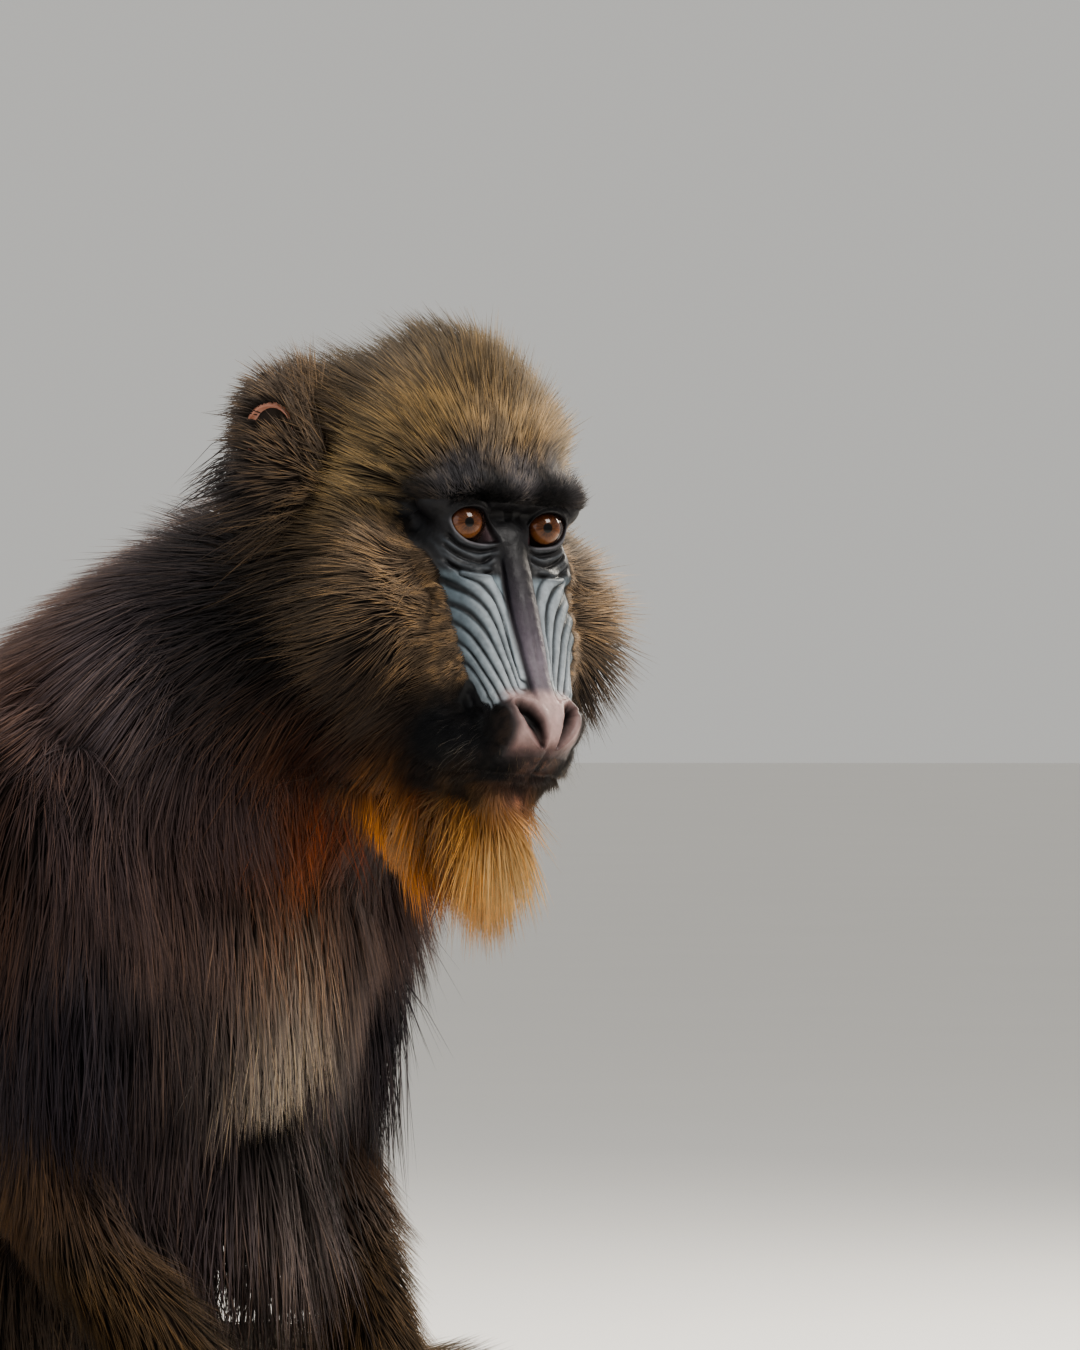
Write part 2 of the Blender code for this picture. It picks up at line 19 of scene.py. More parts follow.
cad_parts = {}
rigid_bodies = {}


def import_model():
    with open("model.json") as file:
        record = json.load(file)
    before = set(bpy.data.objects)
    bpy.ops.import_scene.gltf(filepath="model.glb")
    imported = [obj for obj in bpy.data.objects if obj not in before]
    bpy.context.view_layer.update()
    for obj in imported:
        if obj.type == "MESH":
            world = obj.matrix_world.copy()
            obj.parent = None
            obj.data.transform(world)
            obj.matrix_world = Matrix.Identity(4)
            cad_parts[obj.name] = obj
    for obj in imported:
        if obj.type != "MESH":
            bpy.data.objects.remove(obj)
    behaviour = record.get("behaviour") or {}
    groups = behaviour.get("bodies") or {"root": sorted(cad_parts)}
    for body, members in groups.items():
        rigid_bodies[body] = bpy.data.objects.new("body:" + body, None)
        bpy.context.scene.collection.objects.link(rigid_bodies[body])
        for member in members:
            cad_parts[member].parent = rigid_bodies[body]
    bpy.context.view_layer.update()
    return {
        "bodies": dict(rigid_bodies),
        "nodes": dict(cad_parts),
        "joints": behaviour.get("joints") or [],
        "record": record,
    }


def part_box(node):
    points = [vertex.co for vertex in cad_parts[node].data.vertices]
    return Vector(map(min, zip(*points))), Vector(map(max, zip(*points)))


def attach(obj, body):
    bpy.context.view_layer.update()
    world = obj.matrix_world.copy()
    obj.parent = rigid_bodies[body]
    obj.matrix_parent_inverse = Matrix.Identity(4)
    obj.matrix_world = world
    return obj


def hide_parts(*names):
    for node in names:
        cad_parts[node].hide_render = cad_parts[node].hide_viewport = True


LOG = logging.getLogger("mandrill")
Array = np.ndarray
MM = 0.001
ROOT_BODY = "root"
BAKE_MAP = "OFBake"
HEAD_LEVEL = 0.31
UP = Vector((0.0, 0.0, 1.0))
NOISE_PRIMES = np.array([374761393, 668265263, 1442695041])
NOISE_SEED_STEP = 97531
NOISE_SCRAMBLE = 1274126177
LOW_WORD = 0xFFFFFFFF
NOSTRIL_STEPS = (0.0, 0.15, 0.5, 0.8, 1.0)
NOSTRIL_WIDTHS = (2.0, 3.3, 3.3, 1.9, 0.9)


class Side(Enum):
    """The animal's two sides, with the sign of the across axis."""

    LEFT = 1
    RIGHT = -1

    def label(self) -> str:
        """The side's name in lower case."""
        return self.name.lower()


class Stretch(IntEnum):
    """The stretches of the coat, in the order of its pieces."""

    CHEEK_RIGHT = 0
    CHEEK_LEFT = 1
    CROWN = 2
    OCCIPUT = 3
    BEARD = 4
    NECK = 5
    SHOULDER_LEFT = 6
    SHOULDER_RIGHT = 7
    BACK = 8
    HIPS = 9
    CHEST = 10
    LEGS = 11
    FOREARMS = 12


class TuftKind(Enum):
    """How many rings of three points a tuft has below its tip."""

    SHORT = 1
    BENT = 2
    LOCK = 3

    def triangles(self) -> int:
        """Triangles that one tuft of the kind holds."""
        return 6 * (self.value - 1) + 4


def colour(code: str) -> Array:
    """A display colour as linear light.

    Args:
        code: Six hexadecimal digits.

    Returns:
        Red, green and blue from 0 to 1.
    """
    parts = np.array([int(code[i : i + 2], 16) for i in (0, 2, 4)]) / 255.0
    return np.where(parts <= 0.04045, parts / 12.92, ((parts + 0.055) / 1.055) ** 2.4)


def smooth(values: Array, low: float, high: float) -> Array:
    """A soft ramp.

    Args:
        values: Any numbers.
        low: Where the ramp is 0.
        high: Where the ramp is 1, which may lie below low.

    Returns:
        Numbers from 0 to 1.
    """
    part = np.clip((values - low) / (high - low), 0.0, 1.0)
    return part * part * (3.0 - 2.0 * part)


def unit(vectors: Array) -> Array:
    """Rows scaled to length 1."""
    return vectors / np.maximum(np.linalg.norm(vectors, axis=-1, keepdims=True), 1e-9)


def mix(first: Array, second: Array, share: Array) -> Array:
    """Rows of first moved towards second by a share for each row."""
    return first + (second - first) * np.asarray(share)[..., None]


def lattice_noise(points: Array, scale: float, seed: int) -> Array:
    """Smooth value noise.

    Args:
        points: Rows of places in metres.
        scale: Distance between lattice points in metres.
        seed: Picks the pattern.

    Returns:
        One number from 0 to 1 for each row.
    """
    cell = np.floor(points / scale)
    part = points / scale - cell
    part = part * part * (3.0 - 2.0 * part)
    cell = cell.astype(np.int64)
    total = np.zeros(len(points))
    for corner in range(8):
        step = np.array([corner & 1, corner >> 1 & 1, corner >> 2 & 1])
        code = ((cell + step) @ NOISE_PRIMES + seed * NOISE_SEED_STEP) & LOW_WORD
        code = ((code ^ (code >> 13)) * NOISE_SCRAMBLE) & LOW_WORD
        weight = np.where(step, part, 1.0 - part).prod(axis=1)
        total += weight * ((code ^ (code >> 16)) & 0xFFFF) / 65535.0
    return total


def through(points: Array, count: int, closed: bool = False) -> Array:
    """A smooth curve through points.

    Args:
        points: Rows of places.
        count: Places on each span.
        closed: Whether the curve returns to its start.

    Returns:
        Rows of places along the curve.
    """
    points = np.asarray(points, float)
    if closed:
        padded = np.vstack([points[-1:], points, points[:2]])
    else:
        padded = np.vstack([2 * points[:1] - points[1:2], points, 2 * points[-1:] - points[-2:-1]])
    rows = []
    for a, b, c, d in zip(padded, padded[1:], padded[2:], padded[3:]):
        for step in range(count):
            t = step / count
            straight = 2 * b + (c - a) * t
            square, cube = (2 * a - 5 * b + 4 * c - d) * t**2, (3 * b - a - 3 * c + d) * t**3
            rows.append(0.5 * (straight + square + cube))
    if not closed:
        rows.append(points[-1])
    return np.array(rows)


def line_distance(points: Array, line: Array) -> tuple[Array, Array]:
    """How far points lie from a polyline, in two or three dimensions.

    Args:
        points: Rows of places.
        line: Rows of the polyline's corners.

    Returns:
        The distances, and how far along the line the nearest place lies, from 0 to 1.
    """
    best = np.full(len(points), 1e9)
    along = np.zeros(len(points))
    spans = len(line) - 1
    for index in range(spans):
        start, run = line[index], line[index + 1] - line[index]
        share = np.clip((points - start) @ run / max(run @ run, 1e-12), 0.0, 1.0)
        gap = np.linalg.norm(points - start - share[:, None] * run, axis=1)
        nearer = gap < best
        best = np.where(nearer, gap, best)
        along = np.where(nearer, (index + share) / spans, along)
    return best, along


def inside_distance(points: Array, outline: Array) -> Array:
    """Signed distance from a closed outline in a plane.

    Args:
        points: Rows of two coordinates.
        outline: Rows of the outline's corners.

    Returns:
        Distances, negative inside.
    """
    closed = np.vstack([outline, outline[:1]])
    gap, _ = line_distance(points, closed)
    crossings = np.zeros(len(points), int)
    for (x0, y0), (x1, y1) in zip(closed, closed[1:]):
        spans = (y0 > points[:, 1]) != (y1 > points[:, 1])
        reach = x0 + (points[:, 1] - y0) * (x1 - x0) / ((y1 - y0) or 1e-12)
        crossings += spans & (points[:, 0] < reach)
    return np.where(crossings % 2 == 1, -gap, gap)


def unit_ball(detail: int) -> tuple[Array, Array]:
    """A ball of radius 1.

    Args:
        detail: How often its first triangles are divided.

    Returns:
        Rows of vertex places, and rows of three vertex numbers.
    """
    bm = bmesh.new()
    bmesh.ops.create_icosphere(bm, subdivisions=detail, radius=1.0)
    places = np.array([vert.co for vert in bm.verts])
    faces = np.array([[vert.index for vert in face.verts] for face in bm.faces], np.int32)
    bm.free()
    return places, faces


def stacked(parts: list[tuple[Array, Array]]) -> tuple[Array, Array]:
    """Several meshes as one.

    Args:
        parts: Vertex places and triangles of each.

    Returns:
        Rows of all places, and rows of three vertex numbers.
    """
    starts = np.cumsum([0] + [len(places) for places, _ in parts])
    faces = [triangles + start for (_, triangles), start in zip(parts, starts)]
    return np.vstack([places for places, _ in parts]), np.vstack(faces)


@dataclass(frozen=True)
class HeadFrame:
    """The head's own level frame: millimetres across to the left, forward and up.

    Attributes:
        origin: The place midway between the eyes, in metres.
        axes: Rows of the across, forward and up directions.
    """

    origin: Array
    axes: Array

    @classmethod
    def between_eyes(cls, iris_depth: float = 9.0) -> HeadFrame:
        """The frame that the two packed eyeballs stand in.

        Args:
            iris_depth: Millimetres from the frame's front back to the eyeballs' middles.

        Returns:
            The head's frame.
        """
        left, right = (np.array(sum(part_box(f"eye_{side.label()}"), Vector())) / 2 for side in Side)
        across = unit(left - right)
        heading = math.atan2(across[1], across[0])
        forward = np.array([math.sin(heading), -math.cos(heading), 0.0])
        up = np.cross(across, -forward)
        return cls((left + right) / 2 + forward * iris_depth * MM, np.array([across, forward, up]))

    def local(self, points: Array) -> Array:
        """Places in metres as millimetres in the head's frame."""
        return (points - self.origin) @ self.axes.T / MM

    def world(self, places: Array) -> Array:
        """Millimetres in the head's frame as places in metres."""
        return self.origin + np.asarray(places, float) * MM @ self.axes

    def direction(self, vectors: Array) -> Array:
        """Directions in the head's frame as directions in the row's frame."""
        return np.asarray(vectors, float) @ self.axes


@dataclass(frozen=True)
class EyeSizes:
    """Places and sizes of an eye, in millimetres and degrees.

    Attributes:
        across: From the head's middle to the eyeball's middle.
        depth: How far the eyeball's middle lies behind the head's origin.
        radius: The eyeball's radius.
        iris_angle: From the gaze to the iris's edge.
        pupil_angle: From the gaze to the pupil's edge.
        cornea_radius: Radius of the clear dome over the iris.
        gaze_turn: How far both eyes look to the right.
        gaze_drop: How far they look down.
        lid_radius: Radius of the lids' bulge.
        opening: The outline between the left lids as (across, up).
    """

    across: float = 18.6
    depth: float = 6.8
    radius: float = 10.0
    iris_angle: float = 42.5
    pupil_angle: float = 9.5
    cornea_radius: float = 7.8
    gaze_turn: float = 15.0
    gaze_drop: float = 1.0
    lid_radius: float = 10.7
    opening: tuple[tuple[float, float], ...] = (
        (27.0, 0.6),
        (26.0, 3.2),
        (23.0, 5.2),
        (18.2, 5.9),
        (13.2, 4.6),
        (9.8, 1.0),
        (8.4, -3.2),
        (6.9, -7.0),
        (11.5, -7.8),
        (16.3, -7.6),
        (21.0, -6.5),
        (25.2, -3.4),
    )

    def centre(self, side: Side) -> Array:
        """The eyeball's middle in the head's frame."""
        return np.array([side.value * self.across, -self.depth, 0.0])


@dataclass
class FaceForm:
    """The bare face as a soft union of rounded masses, in the head's frame.

    Attributes:
        eyes: The eyes' sizes, whose lids bulge from the face.
        softness: How widely neighbouring masses melt together, in millimetres.
        singles: Middle masses as place and half sizes.
        pairs: Masses on both sides, given for the left.
        bars: Tapered limbs as two ends and two radii, given for the left where they are off the middle.
    """

    eyes: EyeSizes
    softness: float = 2.0
    singles: tuple = (
        ((0, -22, -22), (36, 23, 40)),
        ((0, 22.5, -79), (15.5, 14.5, 13)),
        ((0, 9, -88), (23, 20, 12)),
        ((0, -1.5, -98.5), (15.5, 15.5, 13.0)),
        ((0, -5, -8), (14, 8.5, 9)),
        ((0, 0, 12), (15, 8, 6)),
    )
    pairs: tuple = (
        ((11.5, 24, -77), (8, 9, 9)),
        ((16, -5, -85), (15, 20, 15)),
        ((24, -11, -16), (11, 11, 11)),
        ((20.5, -14, -50), (15, 23, 31)),
        ((22, -27, -84), (14, 28, 19)),
        ((13, -6, -93), (13, 15, 12)),
        ((14, -2, 13.5), (15, 9, 6)),
        ((28.5, -8.5, 8.5), (9, 8.5, 7)),
    )
    bars: tuple = (
        ((0, -2, -6), (0, 22.0, -69), (6.3, 7.5)),
        ((14.5, -4, -24), (12.0, 13, -66), (11.0, 8.5)),
    )

    def distance(self, places: Array) -> Array:
        """Signed distance from the face, in millimetres.

        Args:
            places: Rows in the head's frame.

        Returns:
            Distances, negative inside.
        """
        folded = places.copy()
        folded[:, 0] = np.abs(folded[:, 0])
        masses = [*self.singles, *self.pairs]
        lid = self.eyes.centre(Side.LEFT)
        masses.append((lid, (self.eyes.lid_radius,) * 3))
        found = []
        for centre, sizes in masses:
            sizes = np.array(sizes, float)
            offset = (folded - np.array(centre, float)) / sizes
            reach = np.linalg.norm(offset, axis=1)
            slope = np.maximum(np.linalg.norm(offset / sizes, axis=1), 1e-6)
            found.append(reach * (reach - 1.0) / slope)
        for start, end, (wide, narrow) in self.bars:
            start, run = np.array(start, float), np.array(end, float) - np.array(start, float)
            share = np.clip((folded - start) @ run / (run @ run), 0.0, 1.0)
            gap = np.linalg.norm(folded - start - share[:, None] * run, axis=1)
            found.append(gap - (wide + (narrow - wide) * share))
        gaps = np.array(found)
        least = gaps.min(axis=0)
        return least - self.softness * np.log(np.exp(-(gaps - least) / self.softness).sum(axis=0))

    def slope(self, places: Array, step: float = 0.3) -> Array:
        """The gradient of the distance.

        Args:
            places: Rows in the head's frame.
            step: Half the width over which the change is measured, in millimetres.

        Returns:
            Rows of gradients.
        """
        rows = []
        for axis in np.eye(3) * step:
            rows.append((self.distance(places + axis) - self.distance(places - axis)) / (2 * step))
        return np.array(rows).T

    def settle(self, places: Array, rounds: int = 4) -> Array:
        """Places moved onto the face along its slope.

        Args:
            places: Rows in the head's frame.
            rounds: How many times the move is repeated.

        Returns:
            Rows on the face.
        """
        for _ in range(rounds):
            slope = self.slope(places)
            share = self.distance(places) / np.maximum((slope * slope).sum(axis=1), 0.05)
            places = places - slope * np.clip(share, -4.0, 4.0)[:, None]
        return places


@dataclass
class FaceRelief:
    """Ridges, folds, lids, nostrils and lips on the face, and its markings.

    Attributes:
        form: The face's rounded form.
        eyes: The eyes' sizes.
        crests: Lines along the tops of the blue ridges on the left.
        folds: Lines of the folds under the eye as (across, up, depth).
        creases: Lines of the folds over the eye.
        nostril: The line of the left nostril.
        mouth: The line between the lips on the left.
        nose_widths: Half widths of the nose bar at heights from top to bottom.
        hair_heights: Heights at which the bare face's half width is given.
        hair_widths: The bare face's half width at each height.
        fold_depths: How deep each fold is, in millimetres.
        fold_shading: How strongly painted shade darkens each fold's crease and a painted highlight lightens
            its roll, from 0 to 1.
        crest_height: How high a ridge stands, in millimetres.
        reach: How far a ridge spreads from its line, in millimetres.
        steps: Places on each span of a line.
        lines: Every line, laid on the face by prepare().
    """

    form: FaceForm
    eyes: EyeSizes
    crests: tuple = (
        (
            (23, 3, -20.5), (15, 7, -22.5), (10.6, 9.5, -29),
            (8.6, 13, -38), (7.6, 18, -50), (6.6, 22.5, -60),
        ),
        (
            (31, 0, -19.5), (26, 3.8, -21.5), (19.6, 8, -26), (14, 11, -33),
            (11.4, 14.5, -42), (9.4, 20, -54), (8.0, 24, -64),
        ),
        (
            (32, 0, -27), (27.4, 4, -29), (21, 9.6, -33), (16, 13.5, -40),
            (13.2, 16.9, -48.5), (10.6, 21.5, -58.5), (9.2, 25, -65.5),
        ),
        (
            (32, 2, -34.5), (26.8, 8, -37.2), (21.3, 12.7, -43.2),
            (17.2, 16.8, -50.6), (14.2, 20.2, -58), (11.6, 24, -66.5),
        ),
        (
            (31, 5, -42), (26.2, 10, -44.8), (21.9, 14.3, -52),
            (18.3, 18, -58.6), (15.8, 21, -64), (14.2, 23.5, -69),
        ),
        (
            (30, 7, -49.5), (25.6, 11.4, -52), (22.2, 15, -58.6),
            (19.8, 18.6, -64), (17.4, 21.5, -70),
        ),
        ((29, 8, -57), (24.6, 12.5, -59.5), (21.7, 16.5, -65.6), (19.6, 19, -72)),
    )
    folds: tuple = (
        ((28.5, -4.2), (24.8, -8.2), (20, -10.3), (14.5, -11.2), (10.5, -10.7), (6.5, -9.2)),
        ((30, -8), (25, -12.2), (18, -15), (13, -14.8), (7.5, -11.8)),
        ((31.5, -13), (26.5, -17.2), (20.5, -19.4), (15, -19.8), (9.5, -19)),
        ((33.5, -6), (31.5, -14), (28, -19.5)),
    )
    creases: tuple = (((30.5, 4.6), (26.5, 8.0), (20.5, 8.8), (14.5, 7.4), (9.8, 3.6), (7.2, -2)),)
    nostril: tuple = (
        (11.8, 29, -71.5),
        (9.6, 32, -73.5),
        (7.2, 34.5, -78),
        (5.0, 35, -83),
        (3.6, 34.5, -86.5),
    )
    mouth: tuple = ((0, 22, -97.5), (9, 20, -97.5), (17, 13, -96.5), (23, 4, -94.5), (29, -10, -90))
    nose_widths: tuple = ((-4, 4.5), (-14, 6.6), (-38, 6.6), (-58, 5.3), (-66, 5.0))
    hair_heights: tuple = (-116, -100, -86, -78, -71, -63, -54, -46, -37, -27, -17, -8, 3, 11, 18)
    hair_widths: tuple = (20, 28, 31, 28, 23, 22.5, 24.5, 26.5, 28, 28, 31.5, 34.5, 36.5, 38, 38)
    fold_depths: tuple = (0.95, 1.0, 1.25, 0.5)
    fold_shading: tuple = (0.8, 0.75, 0.9, 0.4)
    crest_height: float = 1.5
    reach: float = 3.6
    steps: int = 6
    lines: dict = field(default_factory=dict)

    def prepare(self) -> None:
        """Lays every line on the face."""
        self.lines["crests"] = [self.form.settle(through(line, self.steps)) for line in self.crests]
        self.lines["nostril"] = self.form.settle(through(self.nostril, self.steps))
        self.lines["mouth"] = self.form.settle(through(self.mouth, self.steps))
        self.lines["folds"] = [through(line, self.steps) for line in self.folds]
        self.lines["creases"] = [through(line, self.steps) for line in self.creases]
        self.lines["opening"] = through(self.eyes.opening, self.steps, closed=True)

    def ridges(self, folded: Array) -> tuple[Array, Array, Array]:
        """The blue ridges.

        Args:
            folded: Rows in the head's frame with both sides laid on the left.

        Returns:
            The ridge profile from 0 in a groove to 1 on a crest, the gap to the nearest crest, and the
            place along it.
        """
        found = [line_distance(folded, line) for line in self.lines["crests"]]
        gaps = np.array([gap for gap, _ in found])
        places = np.array([place for _, place in found])
        order = np.argsort(gaps, axis=0)
        row = np.arange(len(folded))
        near, following = gaps[order[0], row], gaps[order[1], row]
        share = np.minimum(near / np.maximum(near + following, 1e-6), 0.5)
        profile = (1.0 - (2.0 * share) ** 2.2) * smooth(near, self.reach, 0.4 * self.reach)
        return profile, near, places[order[0], row]

    def nose_edge(self, folded: Array) -> Array:
        """Millimetres outside the edge of the nose bar, negative on it."""
        heights, widths = np.array(self.nose_widths, float).T
        return folded[:, 0] - np.interp(folded[:, 2], heights[::-1], widths[::-1])

    def height(self, places: Array) -> Array:
        """How far the skin stands out of the rounded form.

        Args:
            places: Rows on the form, in the head's frame.

        Returns:
            Millimetres outward.
        """
        folded = places.copy()
        folded[:, 0] = np.abs(folded[:, 0])
        side, front, up = folded.T
        flat = folded[:, [0, 2]]
        raised = np.zeros(len(folded))

        profile, _, place = self.ridges(folded)
        ends = 0.45 + 0.55 * smooth(place, 1.0, 0.8)
        raised += self.crest_height * profile * ends
        crinkled = smooth(up, -62, -67) * smooth(up, -77, -72) * smooth(side, 10, 13) * smooth(side, 24, 21)
        raised += crinkled * 1.1 * (lattice_noise(places * MM, 0.0024, 13) - 0.5)

        edge = self.nose_edge(folded)
        bar = smooth(up, -9, -18) * smooth(up, -72, -64) * smooth(front, -2, 4)
        raised += bar * (0.9 * smooth(edge, 0.4, -1.4) - 1.0 * np.exp(-((edge / 0.9) ** 2)))
        raised -= 0.35 * bar * np.exp(-((side / 1.1) ** 2)) * smooth(up, -20, -50)

        near_eye = (side < 38) & (up > -26) & (up < 14) & (front > -20)
        eye = np.flatnonzero(near_eye)
        for line, depth in zip(self.lines["folds"], self.fold_depths):
            gap, along = line_distance(flat[eye], line)
            fade = smooth(along, 0.0, 0.12) * smooth(along, 1.0, 0.85) * smooth(side[eye], 31.5, 26.5)
            roll = 0.45 * depth * np.exp(-(((gap - 1.7) / 0.9) ** 2))
            raised[eye] += fade * (roll - depth * np.exp(-((gap / 0.6) ** 2)))
        for line in self.lines["creases"]:
            gap, along = line_distance(flat[eye], line)
            raised[eye] -= 0.9 * smooth(along, 0, 0.15) * smooth(along, 1, 0.8) * np.exp(-((gap / 0.8) ** 2))
        opening = inside_distance(flat[eye], self.lines["opening"])
        raised[eye] += 0.2 * np.exp(-(((opening - 0.8) / 0.6) ** 2))

        gap, along = line_distance(folded, self.lines["nostril"])
        width = np.interp(along, NOSTRIL_STEPS, NOSTRIL_WIDTHS)
        hollow = 6.0 - 3.6 * smooth(along, 0.45, 1.0)
        raised -= hollow * smooth(gap / width, 1.2, 0.4)
        raised += 0.7 * np.exp(-(((gap / width - 1.6) / 0.4) ** 2))
        gap, _ = line_distance(folded, self.lines["mouth"])
        raised -= 1.3 * np.exp(-((gap / 1.2) ** 2))
        raised += 0.35 * np.exp(-(((gap - 3.0) / 1.6) ** 2))
        groove = 0.9 * np.exp(-((side / 1.1) ** 2))
        raised -= groove * smooth(up, -84, -89) * smooth(up, -103, -97) * smooth(front, 5, 15)

        grains = ((0.0031, 11), (0.0014, 12))
        broad, fine = (lattice_noise(places * MM, scale, seed) - 0.5 for scale, seed in grains)
        raised += 0.30 * broad + 0.16 * fine
        return raised

    def open_eyes(self, places: Array) -> Array:
        """How far the skin sinks behind the eyeballs within the lids, in millimetres.

        Args:
            places: Rows on the form, in the head's frame.

        Returns:
            Millimetres inward, 0 outside the lids.
        """
        flat = np.column_stack([np.abs(places[:, 0]), places[:, 2]])
        sunk = np.zeros(len(places))
        eye = np.flatnonzero((flat[:, 0] < 33) & (np.abs(flat[:, 1]) < 12) & (places[:, 1] > -16))
        opening = inside_distance(flat[eye], self.lines["opening"])
        floor = 2.4 + 2.4 * smooth(flat[eye, 0], 9.0, 13.0)
        sunk[eye] = floor * smooth(opening, 0.35, -0.75)
        return sunk

    def hairline(self, places: Array) -> Array:
        """How far places lie beyond the bare face's edge.

        Args:
            places: Rows in the head's frame.

        Returns:
            Millimetres, negative on the face.
        """
        side, front, up = np.abs(places[:, 0]), places[:, 1], places[:, 2]
        beyond = side - np.interp(up, self.hair_heights, self.hair_widths)
        return np.maximum.reduce([beyond, up - 17.0, -113.0 - up, -front - 24.0])

    def fuzz(self, places: Array) -> Array:
        """How fully brow, muzzle and chin within the hairline carry short fur.

        Args:
            places: Rows in the head's frame.

        Returns:
            Shares from 0 to 1.
        """
        side, front, up = np.abs(places[:, 0]), places[:, 1], places[:, 2]
        brow = smooth(up, 7.0, 9.0)
        cheek = smooth(up, -66 - 0.45 * np.clip(25 - side, 0, 20), -72) * smooth(side, 14, 19)
        lip = smooth(up, -87, -96) + smooth(up, -72, -80) * smooth(front, 16, 10)
        return np.clip(np.maximum.reduce([brow, cheek, lip]), 0.0, 1.0)

    def growth(self, places: Array) -> Array:
        """The share of its full length that fur on the head has reached at each place."""
        line, fuzz = self.hairline(places), self.fuzz(places)
        return np.where(line < 0, fuzz, np.maximum(0.3 + 0.7 * smooth(line, 0.0, 11.0), fuzz))

    def paint(self, places: Array, under: Array) -> Array:
        """The face's markings.

        Args:
            places: Rows in the head's frame, on the rounded form.
            under: The colour under the coat for each row, which shows past the hairline.

        Returns:
            Rows of linear colours, with painted shade in the ridges' grooves, the folds' creases, the nose
            bar's edge groove, the upper lid's hollow and the nostrils, and painted highlights on the folds'
            rolls and the lower lid rims.
        """
        folded = places.copy()
        folded[:, 0] = np.abs(folded[:, 0])
        side, front, up = folded.T
        flat = folded[:, [0, 2]]
        noise = lattice_noise(places * MM, 0.0045, 21)
        fine = lattice_noise(places * MM, 0.0012, 22)
        face = mix(colour("0e0e10"), colour("1c1c1f"), 0.6 * noise)

        profile, gap, _ = self.ridges(folded)
        edge = self.nose_edge(folded)
        blue = smooth(gap, 3.8, 2.6) * smooth(edge, -0.6, 0.8)
        blue = blue * smooth(up, -76, -69) * smooth(up, -17.5, -20.5)
        cheek = smooth(edge, 0.2, 1.6) * smooth(side, 17, 12) * smooth(up, -19, -23) * smooth(up, -44, -34)
        crest = mix(colour("82898e"), colour("465056"), smooth(side, 13, 27))
        crest = mix(crest, colour("a0a5a8"), 0.5 * smooth(up, -46, -64) * smooth(side, 20, 12))
        # Ridge colour runs from dark in the grooves to pale blue on the crests: partly the skin's own colour,
        # partly painted shade in the grooves.
        tint = mix(colour("12181c"), crest, smooth(profile, 0.0, 0.9))
        face = mix(face, colour("707c83"), cheek * 0.9)
        face = mix(face, tint, blue)

        bar = smooth(edge, 0.5, -0.5) * smooth(up, 0, -10) * smooth(front, -3, 3) * smooth(up, -96, -84)
        heights = [-80, -66, -54, -42, -24, -8]
        tones = np.array([colour(c) for c in ("5c4f4f", "564e54", "5c545c", "3e373f", "1f1b21", "0c0b0d")])
        bar_tone = np.column_stack([np.interp(up, heights, tones[:, i]) for i in range(3)])
        face = mix(face, bar_tone, bar)
        # Painted shade in the groove along the nose bar's edge.
        rim = 0.75 * np.exp(-((edge / 0.8) ** 2)) * smooth(up, -12, -20) * smooth(up, -70, -62)
        face = mix(face, colour("1d181d"), rim)

        pad = smooth(up, -63, -69) * smooth(up, -98, -83) * smooth(side, 18, 12) * smooth(front, 10, 19)
        pad_tone = mix(colour("a18884"), colour("543a37"), smooth(up, -79, -91))
        pad_tone = mix(pad_tone, colour("4a3635"), 0.7 * smooth(side, 12, 17))
        face = mix(face, pad_tone, pad)

        lips = np.maximum(smooth(up, -72, -80) * smooth(side, 12, 18), smooth(up, -86, -96))
        lips = np.maximum(lips, smooth(up, -66, -76) * smooth(front, 18, 10))
        face = mix(face, colour("0e0e10"), lips)
        chin = smooth(up, -103.5, -106.5) * smooth(side, 18, 11) * smooth(front, -6, 3)
        face = mix(face, colour("6e4a46"), chin)

        eye = np.flatnonzero((side < 40) & (up > -28) & (up < 16) & (front > -22))
        opening = inside_distance(flat[eye], self.lines["opening"])
        lid = mix(face[eye], colour("131215"), 0.8 * smooth(opening, 9.0, 3.0))
        lid = mix(lid, colour("151417"), 0.85 * smooth(up[eye], 1.0, 5.5))
        # The pale lower lid rim is partly the lid's own pale margin and partly a painted highlight.
        lower = smooth(up[eye], 3.0, -1.0)
        rim = 0.5 * lower * smooth(side[eye], 8.0, 13.0) * np.exp(-(((opening - 0.6) / 0.4) ** 2))
        lid = mix(lid, colour("77757a"), rim)
        # Painted shade in each fold's crease, and a painted highlight on the roll beside it below the eye.
        for line, depth in zip(self.lines["folds"], self.fold_shading):
            gap, along = line_distance(flat[eye], line)
            fade = smooth(along, 0.0, 0.12) * smooth(along, 1.0, 0.85)
            lid = mix(lid, colour("0c0b0e"), depth * fade * np.exp(-((gap / 0.75) ** 2)))
            roll = 0.5 * depth * fade * np.exp(-(((gap - 1.7) / 0.6) ** 2)) * smooth(up[eye], 0, -6)
            lid = mix(lid, colour("454a4f"), roll)
        lid = mix(lid, colour("191113"), smooth(opening, 0.25, -0.35))
        lid = mix(lid, colour("3d2c30"), smooth(opening, -0.5, -1.4) * smooth(side[eye], 12.5, 9.5))
        face[eye] = lid
        face = mix(face, colour("0b0a0c"), smooth(up, -3, 3) * smooth(side, 13, 9))
        face = mix(face, colour("121114"), smooth(up, 5, 11) * smooth(up, 21, 16))

        gap, along = line_distance(folded, self.lines["nostril"])
        width = np.interp(along, NOSTRIL_STEPS, NOSTRIL_WIDTHS)
        face = mix(face, colour("4a3230"), 0.45 * smooth(gap / width, 1.9, 1.1))
